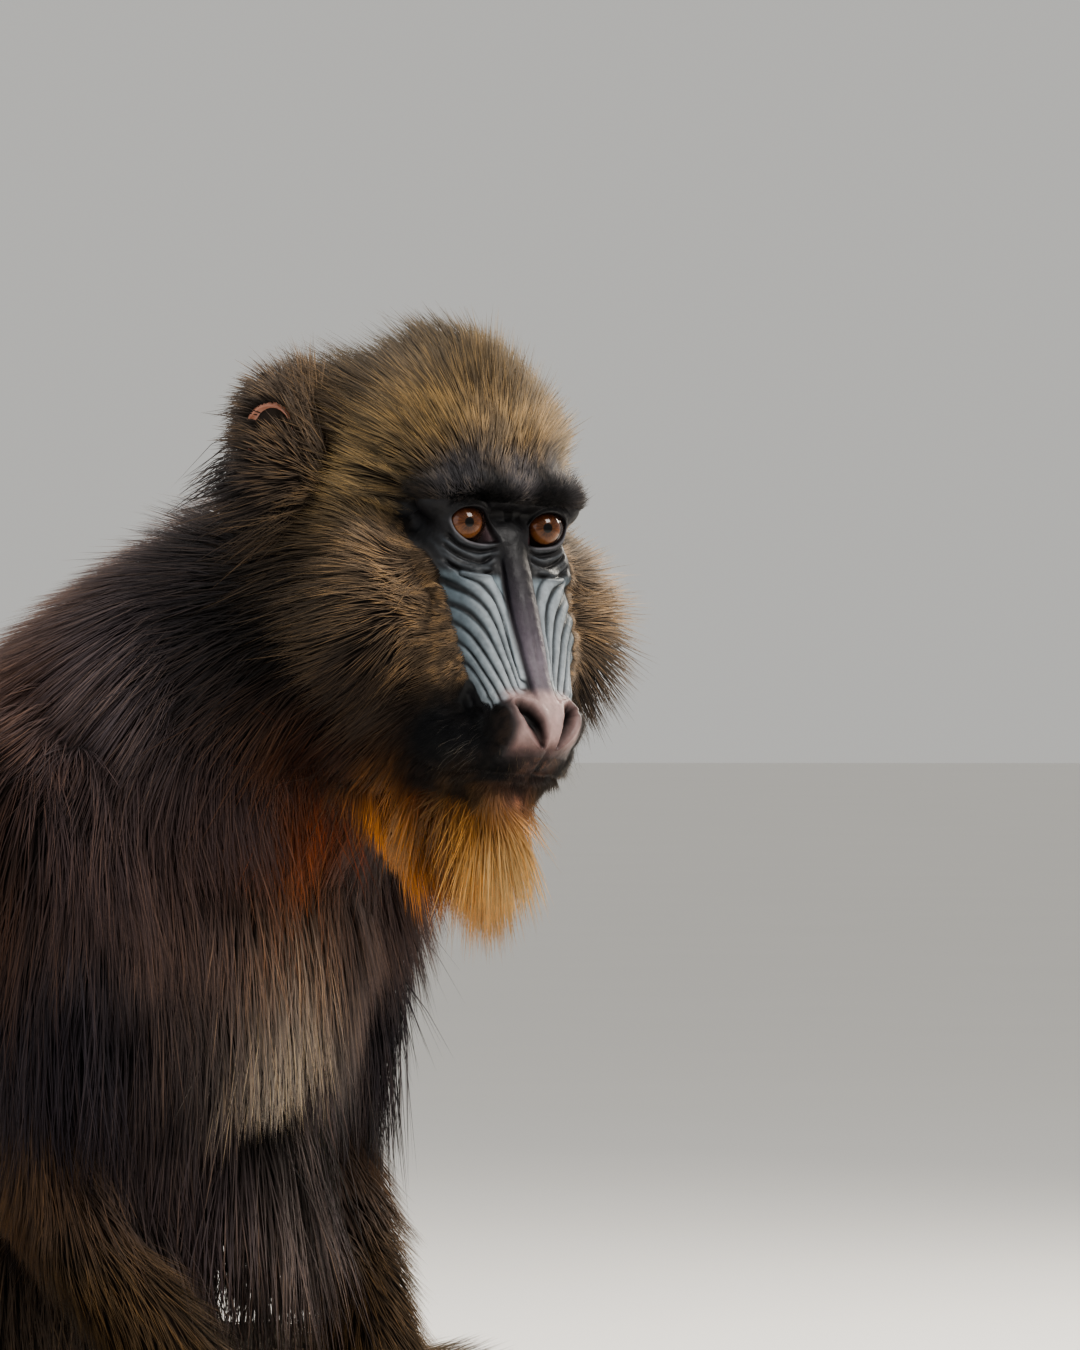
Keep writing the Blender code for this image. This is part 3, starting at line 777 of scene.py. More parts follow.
        # Painted shade inside the nostril's hollow, lighter where the hollow is shallow.
        nostril_shade = smooth(gap / width, 1.2, 0.6) * (1.0 - 0.45 * smooth(along, 0.5, 1.0))
        face = mix(face, colour("0c0809"), nostril_shade)
        gap, _ = line_distance(folded, self.lines["mouth"])
        face = mix(face, colour("1a0a0a"), smooth(gap, 2.0, 0.8))
        face = face * (0.88 + 0.24 * fine)[:, None]
        return mix(face, under, smooth(self.hairline(places), -1.0, 3.0))


@dataclass(frozen=True)
class CoatAnchor:
    """How the coat lies and looks round one place.

    Attributes:
        place: In the head's frame in millimetres, or in the row's frame in metres.
        flow: Where the hair points, in the same frame.
        depth: Millimetres from skin to tips.
        lift: Degrees between the skin and the hair.
        width: Millimetres across a tuft at its root.
        root: Display colour at the root.
        tip: Display colour at the tip.
        hang: How much the hair leaves the lie of the skin to follow the flow itself.
        cover: Layers of hair over one another.
    """

    place: tuple[float, float, float]
    flow: tuple[float, float, float]
    depth: float
    lift: float
    width: float
    root: str
    tip: str
    hang: float = 0.0
    cover: float = 6.0


# Places in the head's frame in millimetres, for the left side and the middle.
HEAD_COAT = (
    CoatAnchor((0, 8, 20), (0, -0.35, 1), 4.0, 42, 0.62, "0b0a0b", "545052", cover=9.0),
    CoatAnchor((24, 2, 18), (0.25, -0.5, 0.9), 4.0, 42, 0.62, "0b0a0b", "454244", cover=9.0),
    CoatAnchor((12, 6, 8), (0.1, -0.1, 1), 2.6, 45, 0.55, "060506", "0f0e10", cover=9.0),
    CoatAnchor((39, -10, 8), (0.7, -0.6, 0.2), 3.6, 36, 0.52, "0c0a0a", "231d19", cover=8.0),
    CoatAnchor((0, 0, 30), (0, -0.7, 0.8), 7.0, 34, 0.56, "1c140e", "836f54"),
    CoatAnchor((0, -12, 48), (0, -0.8, 0.6), 10.0, 33, 0.56, "20170f", "61523d"),
    CoatAnchor((27, -7, 33), (0.3, -0.75, 0.6), 10.0, 42, 0.56, "1d150e", "786549"),
    CoatAnchor((0, -45, 80), (0, -1, 0.25), 15.0, 40, 0.58, "2a2017", "54493a"),
    CoatAnchor((34, -45, 66), (0.3, -0.95, 0.1), 13.0, 32, 0.58, "271d15", "524637"),
    CoatAnchor((0, -95, 62), (0, -0.9, 0.1), 20.0, 44, 0.62, "1c1614", "584939"),
    CoatAnchor((0, -118, 10), (0, -0.45, -0.9), 15.0, 27, 0.66, "171213", "4c4142"),
    CoatAnchor((42, -22, 18), (0.4, -0.85, 0.3), 10.0, 38, 0.56, "1d150f", "7b6a50"),
    CoatAnchor((52, -60, 42), (0.35, -0.9, 0.3), 15.0, 40, 0.60, "211812", "584a3d"),
    CoatAnchor((50, -100, 25), (0.1, -0.85, -0.2), 18.0, 36, 0.64, "141012", "403839"),
    CoatAnchor((38, -10, -20), (0.5, -0.8, -0.3), 8.0, 30, 0.52, "181210", "836f5a"),
    CoatAnchor((62, -26, -38), (0.4, -0.85, -0.4), 16.0, 30, 0.58, "130e0b", "43382d"),
    # Dark tips: painted shadow of the shaded back of the near cheek, copied to both sides.
    CoatAnchor((70, -60, -32), (0.2, -0.9, -0.45), 20.0, 28, 0.62, "0d0a0a", "1d1817"),
    CoatAnchor((62, -92, -40), (0, -0.75, -0.65), 20.0, 26, 0.66, "100d0f", "2b2527"),
    CoatAnchor((27, 4, -46), (0.5, -0.75, -0.4), 5.0, 32, 0.52, "140f0c", "7a6753"),
    # Darkened tips: painted shade of the near side's lower ruff, copied to both sides.
    CoatAnchor((45, -14, -62), (0.4, -0.7, -0.6), 13.0, 30, 0.58, "120d0a", "392e26"),
    CoatAnchor((46, -40, -86), (0.2, -0.55, -0.8), 16.0, 28, 0.62, "120907", "2c170e"),
    CoatAnchor((28, 2, -83), (0.6, -0.6, -0.55), 2.2, 27, 0.26, "050506", "111215", cover=8.0),
    CoatAnchor((20, 14, -78), (0.6, -0.4, -0.7), 1.4, 27, 0.22, "060506", "141417", cover=7.0),
    CoatAnchor((0, 27, -94), (0, 0.1, -1), 1.0, 32, 0.20, "2a1e1c", "54423e", cover=6.0),
    CoatAnchor((0, 19, -104), (0, 0.1, -1), 1.6, 30, 0.30, "060506", "151213", cover=7.0),
    CoatAnchor((14, 20, -96), (0.25, 0.0, -1), 1.4, 30, 0.22, "070607", "161517", cover=7.0),
    CoatAnchor((0, 14, -110), (0, 0.2, -1), 1.1, 35, 0.24, "64433c", "a87868", cover=5.0),
    CoatAnchor((27, -8, -100), (0.15, -0.7, -0.7), 2.6, 26, 0.52, "090606", "140d0a"),
    CoatAnchor((19, 4, -106), (0.15, -0.4, -0.9), 1.8, 26, 0.24, "060506", "100f10", cover=8.0),
    # Dark anchor: painted shadow of the shaded back of the near cheek, copied to both sides.
    CoatAnchor((66, -40, -38), (0.25, -0.9, -0.4), 19.0, 28, 0.60, "0b0808", "191413"),
    CoatAnchor((0, 6, -113), (0, 0.25, -1), 27.0, 45, 0.46, "c08548", "eac288", 1.0),
    CoatAnchor((15, -2, -114), (0.12, 0.1, -1), 30.0, 45, 0.46, "b27636", "e2ac64", 1.0),
    CoatAnchor((0, -16, -116), (0, 0.05, -1), 36.0, 45, 0.50, "a05a22", "de9a4c", 1.0),
    CoatAnchor((24, -22, -112), (0.1, -0.1, -1), 30.0, 45, 0.50, "84481f", "cb8844", 1.0),
    CoatAnchor((10, -36, -110), (0.05, 0.1, -1), 34.0, 45, 0.50, "84481f", "cb8844", 1.0),
    CoatAnchor((0, -54, -110), (0, -0.1, -1), 20.0, 28, 0.60, "1f0d06", "5a2a0f", 0.5),
)

# Places in the row's frame in metres, for the left side and the middle.
BODY_COAT = (
    CoatAnchor((0, -0.03, 0.455), (0, 0.8, -0.5), 15, 24, 0.62, "1b1618", "7a6b69"),
    CoatAnchor((0.075, -0.05, 0.40), (0.15, 0.45, -0.9), 18, 24, 0.62, "171315", "5e5355"),
    CoatAnchor((0, 0.03, 0.425), (0, 0.75, -0.65), 15, 22, 0.75, "241a17", "70564c"),
    CoatAnchor((0, 0.09, 0.36), (0, 0.6, -0.8), 14, 22, 0.85, "20150f", "5f4735"),
    CoatAnchor((0, 0.15, 0.27), (0, 0.35, -0.95), 14, 22, 0.9, "1a110c", "473320"),
    CoatAnchor((0, 0.19, 0.18), (0, 0.15, -1), 13, 22, 0.9, "1a120d", "473522"),
    CoatAnchor((0.075, 0.17, 0.09), (0.3, 0.2, -1), 12, 22, 0.9, "1a130e", "44351f"),
    CoatAnchor((0.09, 0.0, 0.40), (0.5, 0.2, -0.85), 16, 24, 0.7, "1f1818", "5a4742"),
    # Darkened tips: painted shade of the near shoulder, copied to both sides.
    CoatAnchor((0.125, 0.015, 0.33), (0.15, 0.15, -1), 18, 15, 0.75, "1a100d", "382318", 0.1),
    CoatAnchor((0.10, -0.045, 0.35), (0.1, -0.1, -1), 18, 15, 0.65, "151112", "3f3334", 0.1),
    CoatAnchor((0.062, -0.08, 0.34), (0.0, -0.2, -1), 18, 18, 0.6, "171214", "4e4143", 0.15),
    CoatAnchor((0.030, -0.085, 0.275), (0.0, 0.0, -1), 20, 18, 0.6, "151114", "3f3639", 0.4),
    CoatAnchor((0.055, -0.055, 0.245), (0.0, 0.0, -1), 20, 18, 0.65, "110e11", "2b252a", 0.4),
    CoatAnchor((0.045, -0.075, 0.30), (0.0, -0.1, -1), 18, 15, 0.65, "151012", "3d3235", 0.25),
    CoatAnchor((0.10, -0.02, 0.26), (0.05, 0.0, -1), 20, 15, 0.7, "0e0c10", "2e282e", 0.3),
    CoatAnchor((0.12, 0.03, 0.23), (0.05, 0.1, -1), 18, 18, 0.8, "140d0d", "2e221c", 0.2),
    CoatAnchor((0, -0.085, 0.350), (0, -0.2, -1), 16, 20, 0.6, "240d05", "6f3417", 0.2),
    CoatAnchor((-0.01, -0.088, 0.318), (0, -0.15, -1), 17, 18, 0.6, "2c150b", "7a4a2c", 0.3),
    CoatAnchor((0, -0.086, 0.288), (0, -0.1, -1), 20, 18, 0.6, "6a5d53", "cdbfb0", 0.5),
    CoatAnchor((0, -0.076, 0.252), (0, -0.05, -1), 24, 20, 0.6, "6d635a", "cabeb0", 0.6),
    CoatAnchor((0, -0.055, 0.212), (0, -0.05, -1), 30, 20, 0.6, "1e1817", "564a46", 0.7),
    CoatAnchor((0.035, -0.045, 0.21), (0, 0, -1), 26, 22, 0.7, "191415", "463b3d", 0.7),
    CoatAnchor((0, -0.02, 0.17), (0, -0.05, -1), 30, 20, 0.75, "191413", "443835", 0.7),
    CoatAnchor((0, 0.02, 0.12), (0, 0.15, -1), 14, 20, 0.9, "2c2421", "695c52", 0.3),
    CoatAnchor((0.09, 0.09, 0.2), (0.1, 0.25, -1), 13, 20, 0.9, "1a120e", "3f3025"),
    CoatAnchor((0.10, 0.03, 0.20), (0.1, 0.1, -1), 10, 20, 0.85, "160f0c", "483627"),
    CoatAnchor((0.085, -0.03, 0.12), (-0.05, -0.55, -0.85), 8, 20, 0.65, "1a130e", "58452f"),
    CoatAnchor((0.05, -0.09, 0.05), (-0.05, -0.6, -0.6), 3.5, 20, 0.5, "110d0b", "2d2419"),
    CoatAnchor((0.12, 0.07, 0.08), (0.5, -0.6, -0.3), 10, 20, 0.9, "1b140f", "4a3a23"),
    CoatAnchor((0.185, -0.01, 0.06), (0.1, -0.7, -0.5), 8, 20, 0.8, "1b140f", "4a3a23"),
    CoatAnchor((0.15, -0.06, 0.045), (-0.3, -0.8, -0.3), 7, 20, 0.7, "18120d", "423420"),
    CoatAnchor((0.12, -0.115, 0.03), (0, -0.9, -0.3), 3, 20, 0.5, "110d0b", "2b231a"),
    CoatAnchor((0.05, -0.15, 0.02), (0.1, -1, -0.1), 0.9, 20, 0.4, "0c0a0c", "1a1717", cover=2.0),
    CoatAnchor((0.125, -0.18, 0.02), (0.1, -1, -0.1), 0.9, 20, 0.4, "0c0a0c", "1a1717", cover=2.0),
    CoatAnchor((0, 0.225, 0.15), (0, 0.4, 1), 8, 25, 0.8, "1b150f", "463823"),
)


@dataclass
class CoatMap:
    """The coat's lie, depth and colours at any place, blended between anchors.

    Attributes:
        head: The head's frame.
        relief: The face, for its hairline.
        sharpness: How quickly an anchor's hold fades with distance.
        deepest: The most millimetres by which the skin lies under the coat.
        batch: How many points are looked up at a time.
        table: The anchors of both sides, gathered by prepare().
    """

    head: HeadFrame
    relief: FaceRelief
    sharpness: float = 2.6
    deepest: float = 22.0
    batch: int = 40000
    table: dict = field(default_factory=dict)

    def prepare(self) -> None:
        """Gathers the anchors of both sides into arrays."""
        rows: dict = {"place": [], "flow": [], "values": [], "root": [], "tip": []}
        places = [(anchor, True) for anchor in HEAD_COAT] + [(anchor, False) for anchor in BODY_COAT]
        for anchor, on_head in places:
            for side in Side:
                if side is Side.RIGHT and anchor.place[0] == 0:
                    continue
                flip = np.array([side.value, 1, 1])
                place, flow = np.array(anchor.place) * flip, unit(np.array(anchor.flow, float) * flip)
                rows["place"].append(self.head.world(place) if on_head else place)
                rows["flow"].append(self.head.direction(flow) if on_head else flow)
                rows["values"].append([anchor.depth, anchor.lift, anchor.width, anchor.hang, anchor.cover])
                rows["root"].append(colour(anchor.root))
                rows["tip"].append(colour(anchor.tip))
        self.table = {name: np.array(values, float) for name, values in rows.items()}

    def at(self, points: Array) -> dict:
        """The coat round each point.

        Args:
            points: Rows in metres.

        Returns:
            flow, depth, lift, width, hang, cover, root and tip, each with a row for each point.
        """
        results: dict = {name: [] for name in ("flow", "values", "root", "tip")}
        for start in range(0, len(points), self.batch):
            part = points[start : start + self.batch]
            gap = ((part[:, None, :] - self.table["place"][None]) ** 2).sum(axis=2) + 1e-5
            weight = gap**-self.sharpness
            weight /= weight.sum(axis=1, keepdims=True)
            for name, found in results.items():
                found.append(weight @ self.table[name])
        made = {name: np.vstack(found) for name, found in results.items()}
        values = made.pop("values")
        made.update(zip(("depth", "lift", "width", "hang", "cover"), values.T))
        made["flow"] = unit(made["flow"])
        return made

    def depth(self, points: Array) -> Array:
        """Millimetres from skin to tips, none on the bare face and little on the soles.

        Args:
            points: Rows in metres.

        Returns:
            One depth for each row.
        """
        found = np.minimum(self.at(points)["depth"], self.deepest)
        line = self.relief.hairline(self.head.local(points))
        on_head = smooth(points[:, 2], 0.30, 0.32) * smooth(points[:, 1], -0.02, -0.06)
        edge = np.where(on_head > 0.5, smooth(line, -0.5, 15.0), 1.0)
        return found * edge * smooth(points[:, 2], 0.0005, 0.022)


class Mesh:
    """Helpers that move meshes between Blender and arrays."""

    @staticmethod
    def arrays(ob: bpy.types.Object) -> tuple[Array, Array]:
        """Vertex places and triangles of an object.

        Args:
            ob: A mesh object at the origin.

        Returns:
            Rows of places, and rows of three vertex numbers.
        """
        mesh = ob.data
        mesh.calc_loop_triangles()
        places = np.empty(len(mesh.vertices) * 3)
        mesh.vertices.foreach_get("co", places)
        faces = np.empty(len(mesh.loop_triangles) * 3, np.int32)
        mesh.loop_triangles.foreach_get("vertices", faces)
        return places.reshape(-1, 3), faces.reshape(-1, 3)

    @staticmethod
    def normals(places: Array, faces: Array) -> Array:
        """Smooth normals at the vertices.

        Args:
            places: Rows of vertex places.
            faces: Rows of three vertex numbers.

        Returns:
            One normal for each vertex.
        """
        a, b, c = (places[faces[:, i]] for i in range(3))
        across = np.cross(b - a, c - a)
        total = np.zeros_like(places)
        for corner in range(3):
            for axis in range(3):
                total[:, axis] += np.bincount(faces[:, corner], across[:, axis], len(places))
        return unit(total)

    @staticmethod
    def relax(places: Array, faces: Array, share: Array | float, rounds: int) -> Array:
        """Vertices moved towards the mean of their neighbours.

        Args:
            places: Rows of vertex places.
            faces: Rows of three vertex numbers.
            share: How far each moves in a round.
            rounds: How many rounds.

        Returns:
            The new places.
        """
        ends = np.vstack([faces[:, [0, 1]], faces[:, [1, 2]], faces[:, [2, 0]]])
        count = np.maximum(np.bincount(ends.ravel(), minlength=len(places)), 1)[:, None]
        for _ in range(rounds):
            total = np.zeros_like(places)
            for axis in range(places.shape[1]):
                total[:, axis] = np.bincount(ends[:, 0], places[ends[:, 1], axis], len(places))
                total[:, axis] += np.bincount(ends[:, 1], places[ends[:, 0], axis], len(places))
            places = places + (total / count - places) * share
        return places

    @staticmethod
    def create(name: str, places: Array, faces: Array) -> bpy.types.Object:
        """A new smooth-shaded object of triangles.

        Args:
            name: The piece's name.
            places: Rows of vertex places in metres.
            faces: Rows of three vertex numbers.

        Returns:
            The object, linked to the scene.
        """
        mesh = bpy.data.meshes.new(name)
        mesh.vertices.add(len(places))
        mesh.vertices.foreach_set("co", np.ascontiguousarray(places, np.float32).ravel())
        mesh.loops.add(faces.size)
        mesh.loops.foreach_set("vertex_index", np.ascontiguousarray(faces, np.int32).ravel())
        mesh.polygons.add(len(faces))
        mesh.polygons.foreach_set("loop_start", np.arange(0, faces.size, 3, dtype=np.int32))
        mesh.polygons.foreach_set("use_smooth", np.ones(len(faces), bool))
        mesh.update(calc_edges=True)
        made = bpy.data.objects.new(name, mesh)
        bpy.context.scene.collection.objects.link(made)
        return made

    @staticmethod
    def tint(ob: bpy.types.Object, name: str, colours: Array) -> None:
        """Stores a linear colour for each vertex.

        Args:
            ob: A mesh object.
            name: The attribute's name.
            colours: Red, green and blue for each vertex.
        """
        layer = ob.data.color_attributes.new(name, "FLOAT_COLOR", "POINT")
        rows = np.ones((len(colours), 4), np.float32)
        rows[:, :3] = colours
        layer.data.foreach_set("color", rows.ravel())

    @staticmethod
    def number(ob: bpy.types.Object, name: str, values: Array) -> None:
        """Stores a number for each vertex."""
        layer = ob.data.attributes.new(name, "FLOAT", "POINT")
        layer.data.foreach_set("value", np.ascontiguousarray(values, np.float32))

    @staticmethod
    def remesh(ob: bpy.types.Object, voxel: float, rounds: int) -> None:
        """One closed skin takes the place of the object's overlapping solids.

        Args:
            ob: A mesh object.
            voxel: The grid's pitch in metres.
            rounds: Rounds of smoothing.
        """
        grid = ob.modifiers.new("grid", "REMESH")
        grid.mode = "VOXEL"
        grid.voxel_size = voxel
        if rounds:
            soften = ob.modifiers.new("soften", "SMOOTH")
            soften.factor = 0.5
            soften.iterations = rounds
        bpy.context.view_layer.update()
        graph = bpy.context.evaluated_depsgraph_get()
        mesh = bpy.data.meshes.new_from_object(ob.evaluated_get(graph))
        ob.modifiers.clear()
        ob.data = mesh

    @staticmethod
    @contextmanager
    def edited(ob: bpy.types.Object) -> Iterator[bmesh.types.BMesh]:
        """The object's mesh opened for a change, and written back after it.

        Args:
            ob: A mesh object.

        Yields:
            The open mesh.
        """
        bm = bmesh.new()
        bm.from_mesh(ob.data)
        yield bm
        bm.to_mesh(ob.data)
        bm.free()

    @classmethod
    def split_faces(cls, ob: bpy.types.Object, chosen: Array) -> None:
        """Cuts the chosen faces into smaller ones.

        Args:
            ob: A mesh object.
            chosen: Whether each polygon is cut.
        """
        with cls.edited(ob) as bm:
            bm.faces.ensure_lookup_table()
            picked = [face for face, wanted in zip(bm.faces, chosen) if wanted]
            edges = list({edge for face in picked for edge in face.edges})
            bmesh.ops.subdivide_edges(bm, edges=edges, cuts=1, use_grid_fill=True)

    @classmethod
    def outward(cls, ob: bpy.types.Object) -> None:
        """Turns all faces of a closed mesh outward."""
        with cls.edited(ob) as bm:
            bmesh.ops.recalc_face_normals(bm, faces=bm.faces)

    @staticmethod
    def move(ob: bpy.types.Object, places: Array) -> None:
        """Gives the vertices new places."""
        ob.data.vertices.foreach_set("co", places.astype(np.float32).ravel())

    @staticmethod
    def face_centres(ob: bpy.types.Object) -> Array:
        """The middle of each polygon.

        Args:
            ob: A mesh object.

        Returns:
            Rows of places.
        """
        centres = np.empty(len(ob.data.polygons) * 3)
        ob.data.polygons.foreach_get("center", centres)
        return centres.reshape(-1, 3)


class Sheet:
    """A node tree under construction."""

    def __init__(self, tree: bpy.types.NodeTree) -> None:
        """Starts on a material's or a group's empty node tree."""
        self.tree = tree
        tree.nodes.clear()

    def add(self, kind: str, links: dict | None = None, **settings: object) -> bpy.types.Node:
        """A new node.

        Args:
            kind: The node's type name without its ShaderNode prefix, or in full.
            links: Input names or numbers with a value or an output to link.
            **settings: Properties of the node.

        Returns:
            The node.
        """
        full = kind if kind.startswith("NodeGroup") else "ShaderNode" + kind
        node = self.tree.nodes.new(full)
        for name, value in settings.items():
            setattr(node, name, value)
        for name, value in (links or {}).items():
            if isinstance(value, bpy.types.NodeSocket):
                self.tree.links.new(value, node.inputs[name])
            else:
                node.inputs[name].default_value = value
        return node

    @classmethod
    def material(cls, name: str) -> tuple[bpy.types.Material, Sheet]:
        """A new material.

        Args:
            name: The material's name.

        Returns:
            The material and its empty sheet.
        """
        made = bpy.data.materials.new(name)
        made.use_nodes = True
        return made, cls(made.node_tree)

    def surface(self, links: dict, **same: float | tuple) -> None:
        """Ends the sheet with the surface's shader.

        Args:
            links: The shader's inputs that change over the surface.
            **same: Inputs that are the same everywhere, named with _ for each space.
        """
        shader = self.add("BsdfPrincipled", links)
        for name, value in same.items():
            shader.inputs[name.replace("_", " ")].default_value = value
        output = self.add("OutputMaterial")
        self.tree.links.new(shader.outputs[0], output.inputs["Surface"])

    def stored(self, name: str, colours: bool = False) -> bpy.types.NodeSocket:
        """A number or colour that the mesh holds.

        Args:
            name: What the mesh calls it.
            colours: Whether it is a colour.

        Returns:
            The socket that gives it.
        """
        if colours:
            return self.add("VertexColor", None, layer_name=name).outputs["Color"]
        return self.add("Attribute", None, attribute_name=name).outputs["Fac"]

    def shaded(self, tone: object, share: bpy.types.NodeSocket) -> bpy.types.NodeSocket:
        """A colour made lighter or darker by a share."""
        grey = self.add("CombineColor", {0: share, 1: share, 2: share}).outputs[0]
        return self.blend(1.0, tone, grey, "MULTIPLY")

    def math(self, operation: str, first: object, second: object = 0.0) -> bpy.types.NodeSocket:
        """The result of a math node."""
        return self.add("Math", {0: first, 1: second}, operation=operation).outputs[0]

    def blend(self, share: object, first: object, second: object, how: str = "MIX") -> bpy.types.NodeSocket:
        """The result of mixing two colours.

        Args:
            share: Number or socket from 0 to 1.
            first: Colour or socket.
            second: Colour or socket.
            how: The mix node's blend type.

        Returns:
            The colour's socket.
        """
        node = self.add("Mix", None, data_type="RGBA", blend_type=how)
        for index, value in ((0, share), (6, first), (7, second)):
            if isinstance(value, bpy.types.NodeSocket):
                self.tree.links.new(value, node.inputs[index])
            else:
                node.inputs[index].default_value = value
        return node.outputs[2]

    def ramp(
        self, value: object, low: float, high: float, start: float = 0.0, end: float = 1.0
    ) -> bpy.types.NodeSocket:
        """A value mapped from low..high to start..end with a smooth step."""
        links = {0: value, 1: low, 2: high, 3: start, 4: end}
        return self.add("MapRange", links, interpolation_type="SMOOTHSTEP").outputs[0]


class Groups:
    """Shader node groups that several materials share, each made once."""

    @staticmethod
    def start(name: str, inputs: dict, outputs: dict) -> tuple[Sheet, bpy.types.Node, bpy.types.Node] | None:
        """An empty group with its sockets.

        Args:
            name: The group's name.
            inputs: Socket names with their types.
            outputs: The same for outputs.

        Returns:
            The sheet, its input node and its output node, or None if the group exists.
        """
        if bpy.data.node_groups.get(name):
            return None
        tree = bpy.data.node_groups.new(name, "ShaderNodeTree")
        for label, kind in inputs.items():
            tree.interface.new_socket(label, in_out="INPUT", socket_type=kind)
        for label, kind in outputs.items():
            tree.interface.new_socket(label, in_out="OUTPUT", socket_type=kind)
        sheet = Sheet(tree)
        return sheet, sheet.add("NodeGroupInput"), sheet.add("NodeGroupOutput")

    @classmethod
    def hair_tone(cls) -> bpy.types.NodeTree:
        """Banded hair: dark at the root and light near the tip, with a lighter band on some tufts.

        Returns:
            The group, made once.
        """
        name, tint, number = "hair_tone", "NodeSocketColor", "NodeSocketFloat"
        inputs = {"Root": tint, "Tip": tint, "Along": number, "Tone": number}
        made = cls.start(name, inputs, {"Color": tint, "Roughness": number})
        if made:
            sheet, given, result = made
            lit = sheet.ramp(given.outputs["Along"], 0.10, 0.72)
            base = sheet.blend(lit, given.outputs["Root"], given.outputs["Tip"])
            speckle = sheet.ramp(given.outputs["Tone"], 0.5, 0.9)
            bright = sheet.blend(1.0, base, (2.05, 1.85, 1.45, 1.0), "MULTIPLY")
            band = sheet.math("MULTIPLY", speckle, sheet.ramp(given.outputs["Along"], 0.35, 0.8))
            banded = sheet.blend(band, base, bright)
            shaded = sheet.shaded(banded, sheet.ramp(given.outputs["Tone"], 0.05, 0.5, 0.45, 1.0))
            roughness = sheet.ramp(given.outputs["Along"], 0.0, 1.0, 0.8, 0.5)
            sheet.tree.links.new(shaded, result.inputs["Color"])
            sheet.tree.links.new(roughness, result.inputs["Roughness"])
        return bpy.data.node_groups[name]

    @classmethod
    def skin_grain(cls) -> bpy.types.NodeTree:
        """Pores, fine lines and mottling at a given scale.

        Returns:
            The group, made once.
        """
        name, number = "skin_grain", "NodeSocketFloat"
        made = cls.start(name, {"Scale": number}, {"Height": number, "Mottle": number})
        if made:
            sheet, given, result = made
            place = sheet.add("TexCoord").outputs["Object"]
            cells = sheet.add("TexVoronoi", {"Vector": place, "Scale": given.outputs["Scale"]})
            cloud_scale = sheet.math("MULTIPLY", given.outputs["Scale"], 0.42)
            cloud = sheet.add("TexNoise", {"Vector": place, "Scale": cloud_scale, "Detail": 4.0})
            high = sheet.math("ADD", sheet.math("MULTIPLY", cells.outputs["Distance"], 0.6), cloud.outputs[0])
            wide = sheet.add("TexNoise", {"Vector": place, "Scale": 160.0, "Detail": 3.0})
            sheet.tree.links.new(high, result.inputs["Height"])
            sheet.tree.links.new(wide.outputs[0], result.inputs["Mottle"])
        return bpy.data.node_groups[name]


@dataclass(frozen=True)
class SkinFinish:
    """Bare skin that takes its markings from the mesh.

    Attributes:
        name: The material's name.
        grain: Pores to the metre.
        relief: Strength of the bump.
        roughness: The middle of the roughness.
        specular: Strength of the shine.
        furred: Whether the skin turns dull where it lies under fur.
    """

    name: str
    grain: float = 1500.0
    relief: float = 0.35
    roughness: float = 0.48
    specular: float = 0.4
    furred: bool = False

    def make(self) -> bpy.types.Material:
        """The finish as a material.

        Returns:
            The new material.
        """
        made, sheet = Sheet.material(self.name)
        marking = sheet.stored("marking", colours=True)
        grain = sheet.add("Group", None, node_tree=Groups.skin_grain())
        grain.inputs["Scale"].default_value = self.grain
        shade = sheet.shaded(marking, sheet.ramp(grain.outputs["Mottle"], 0.3, 0.7, 0.85, 1.12))
        rough = sheet.ramp(grain.outputs["Mottle"], 0.25, 0.75, self.roughness - 0.08, self.roughness + 0.1)
        if self.furred:
            rough = sheet.math("MAXIMUM", rough, sheet.ramp(sheet.stored("bald"), 0.0, 1.0, 0.97, 0.0))
        height = grain.outputs["Height"]
        bump = sheet.add("Bump", {"Height": height, "Strength": self.relief, "Distance": 0.00025})
        links = {"Base Color": shade, "Roughness": rough, "Normal": bump.outputs[0]}
        sheet.surface(links, Specular_IOR_Level=self.specular)
        return made


@dataclass(frozen=True)
class HairFinish:
    """Hair that takes its two colours and its lie from the mesh.

    Attributes:
        name: The material's name.
        specular: Strength of the shine.
        sheen: Strength of the soft rim light on the coat.
        sheen_tint: Colour of the rim light.
        sheen_roughness: How softly the rim light spreads.
    """

    name: str
    specular: float = 0.2
    sheen: float = 0.06
    sheen_tint: tuple[float, float, float] = (0.9, 0.85, 0.8)
    sheen_roughness: float = 0.4

    def make(self) -> bpy.types.Material:
        """The finish as a material.

        Returns:
            The new material.
        """
        made, sheet = Sheet.material(self.name)
        group = sheet.add("Group", None, node_tree=Groups.hair_tone())
        held = {
            "Root": sheet.stored("root_shade", colours=True),
            "Tip": sheet.stored("tip_shade", colours=True),
            "Along": sheet.stored("along"),
            "Tone": sheet.stored("tone"),
        }
        for name, socket in held.items():
            sheet.tree.links.new(socket, group.inputs[name])
        sheet.surface(
            {"Base Color": group.outputs["Color"], "Roughness": group.outputs["Roughness"]},
            Specular_IOR_Level=self.specular,
            Sheen_Weight=self.sheen,
            Sheen_Roughness=self.sheen_roughness,
            Sheen_Tint=(*self.sheen_tint, 1.0),
        )
        return made


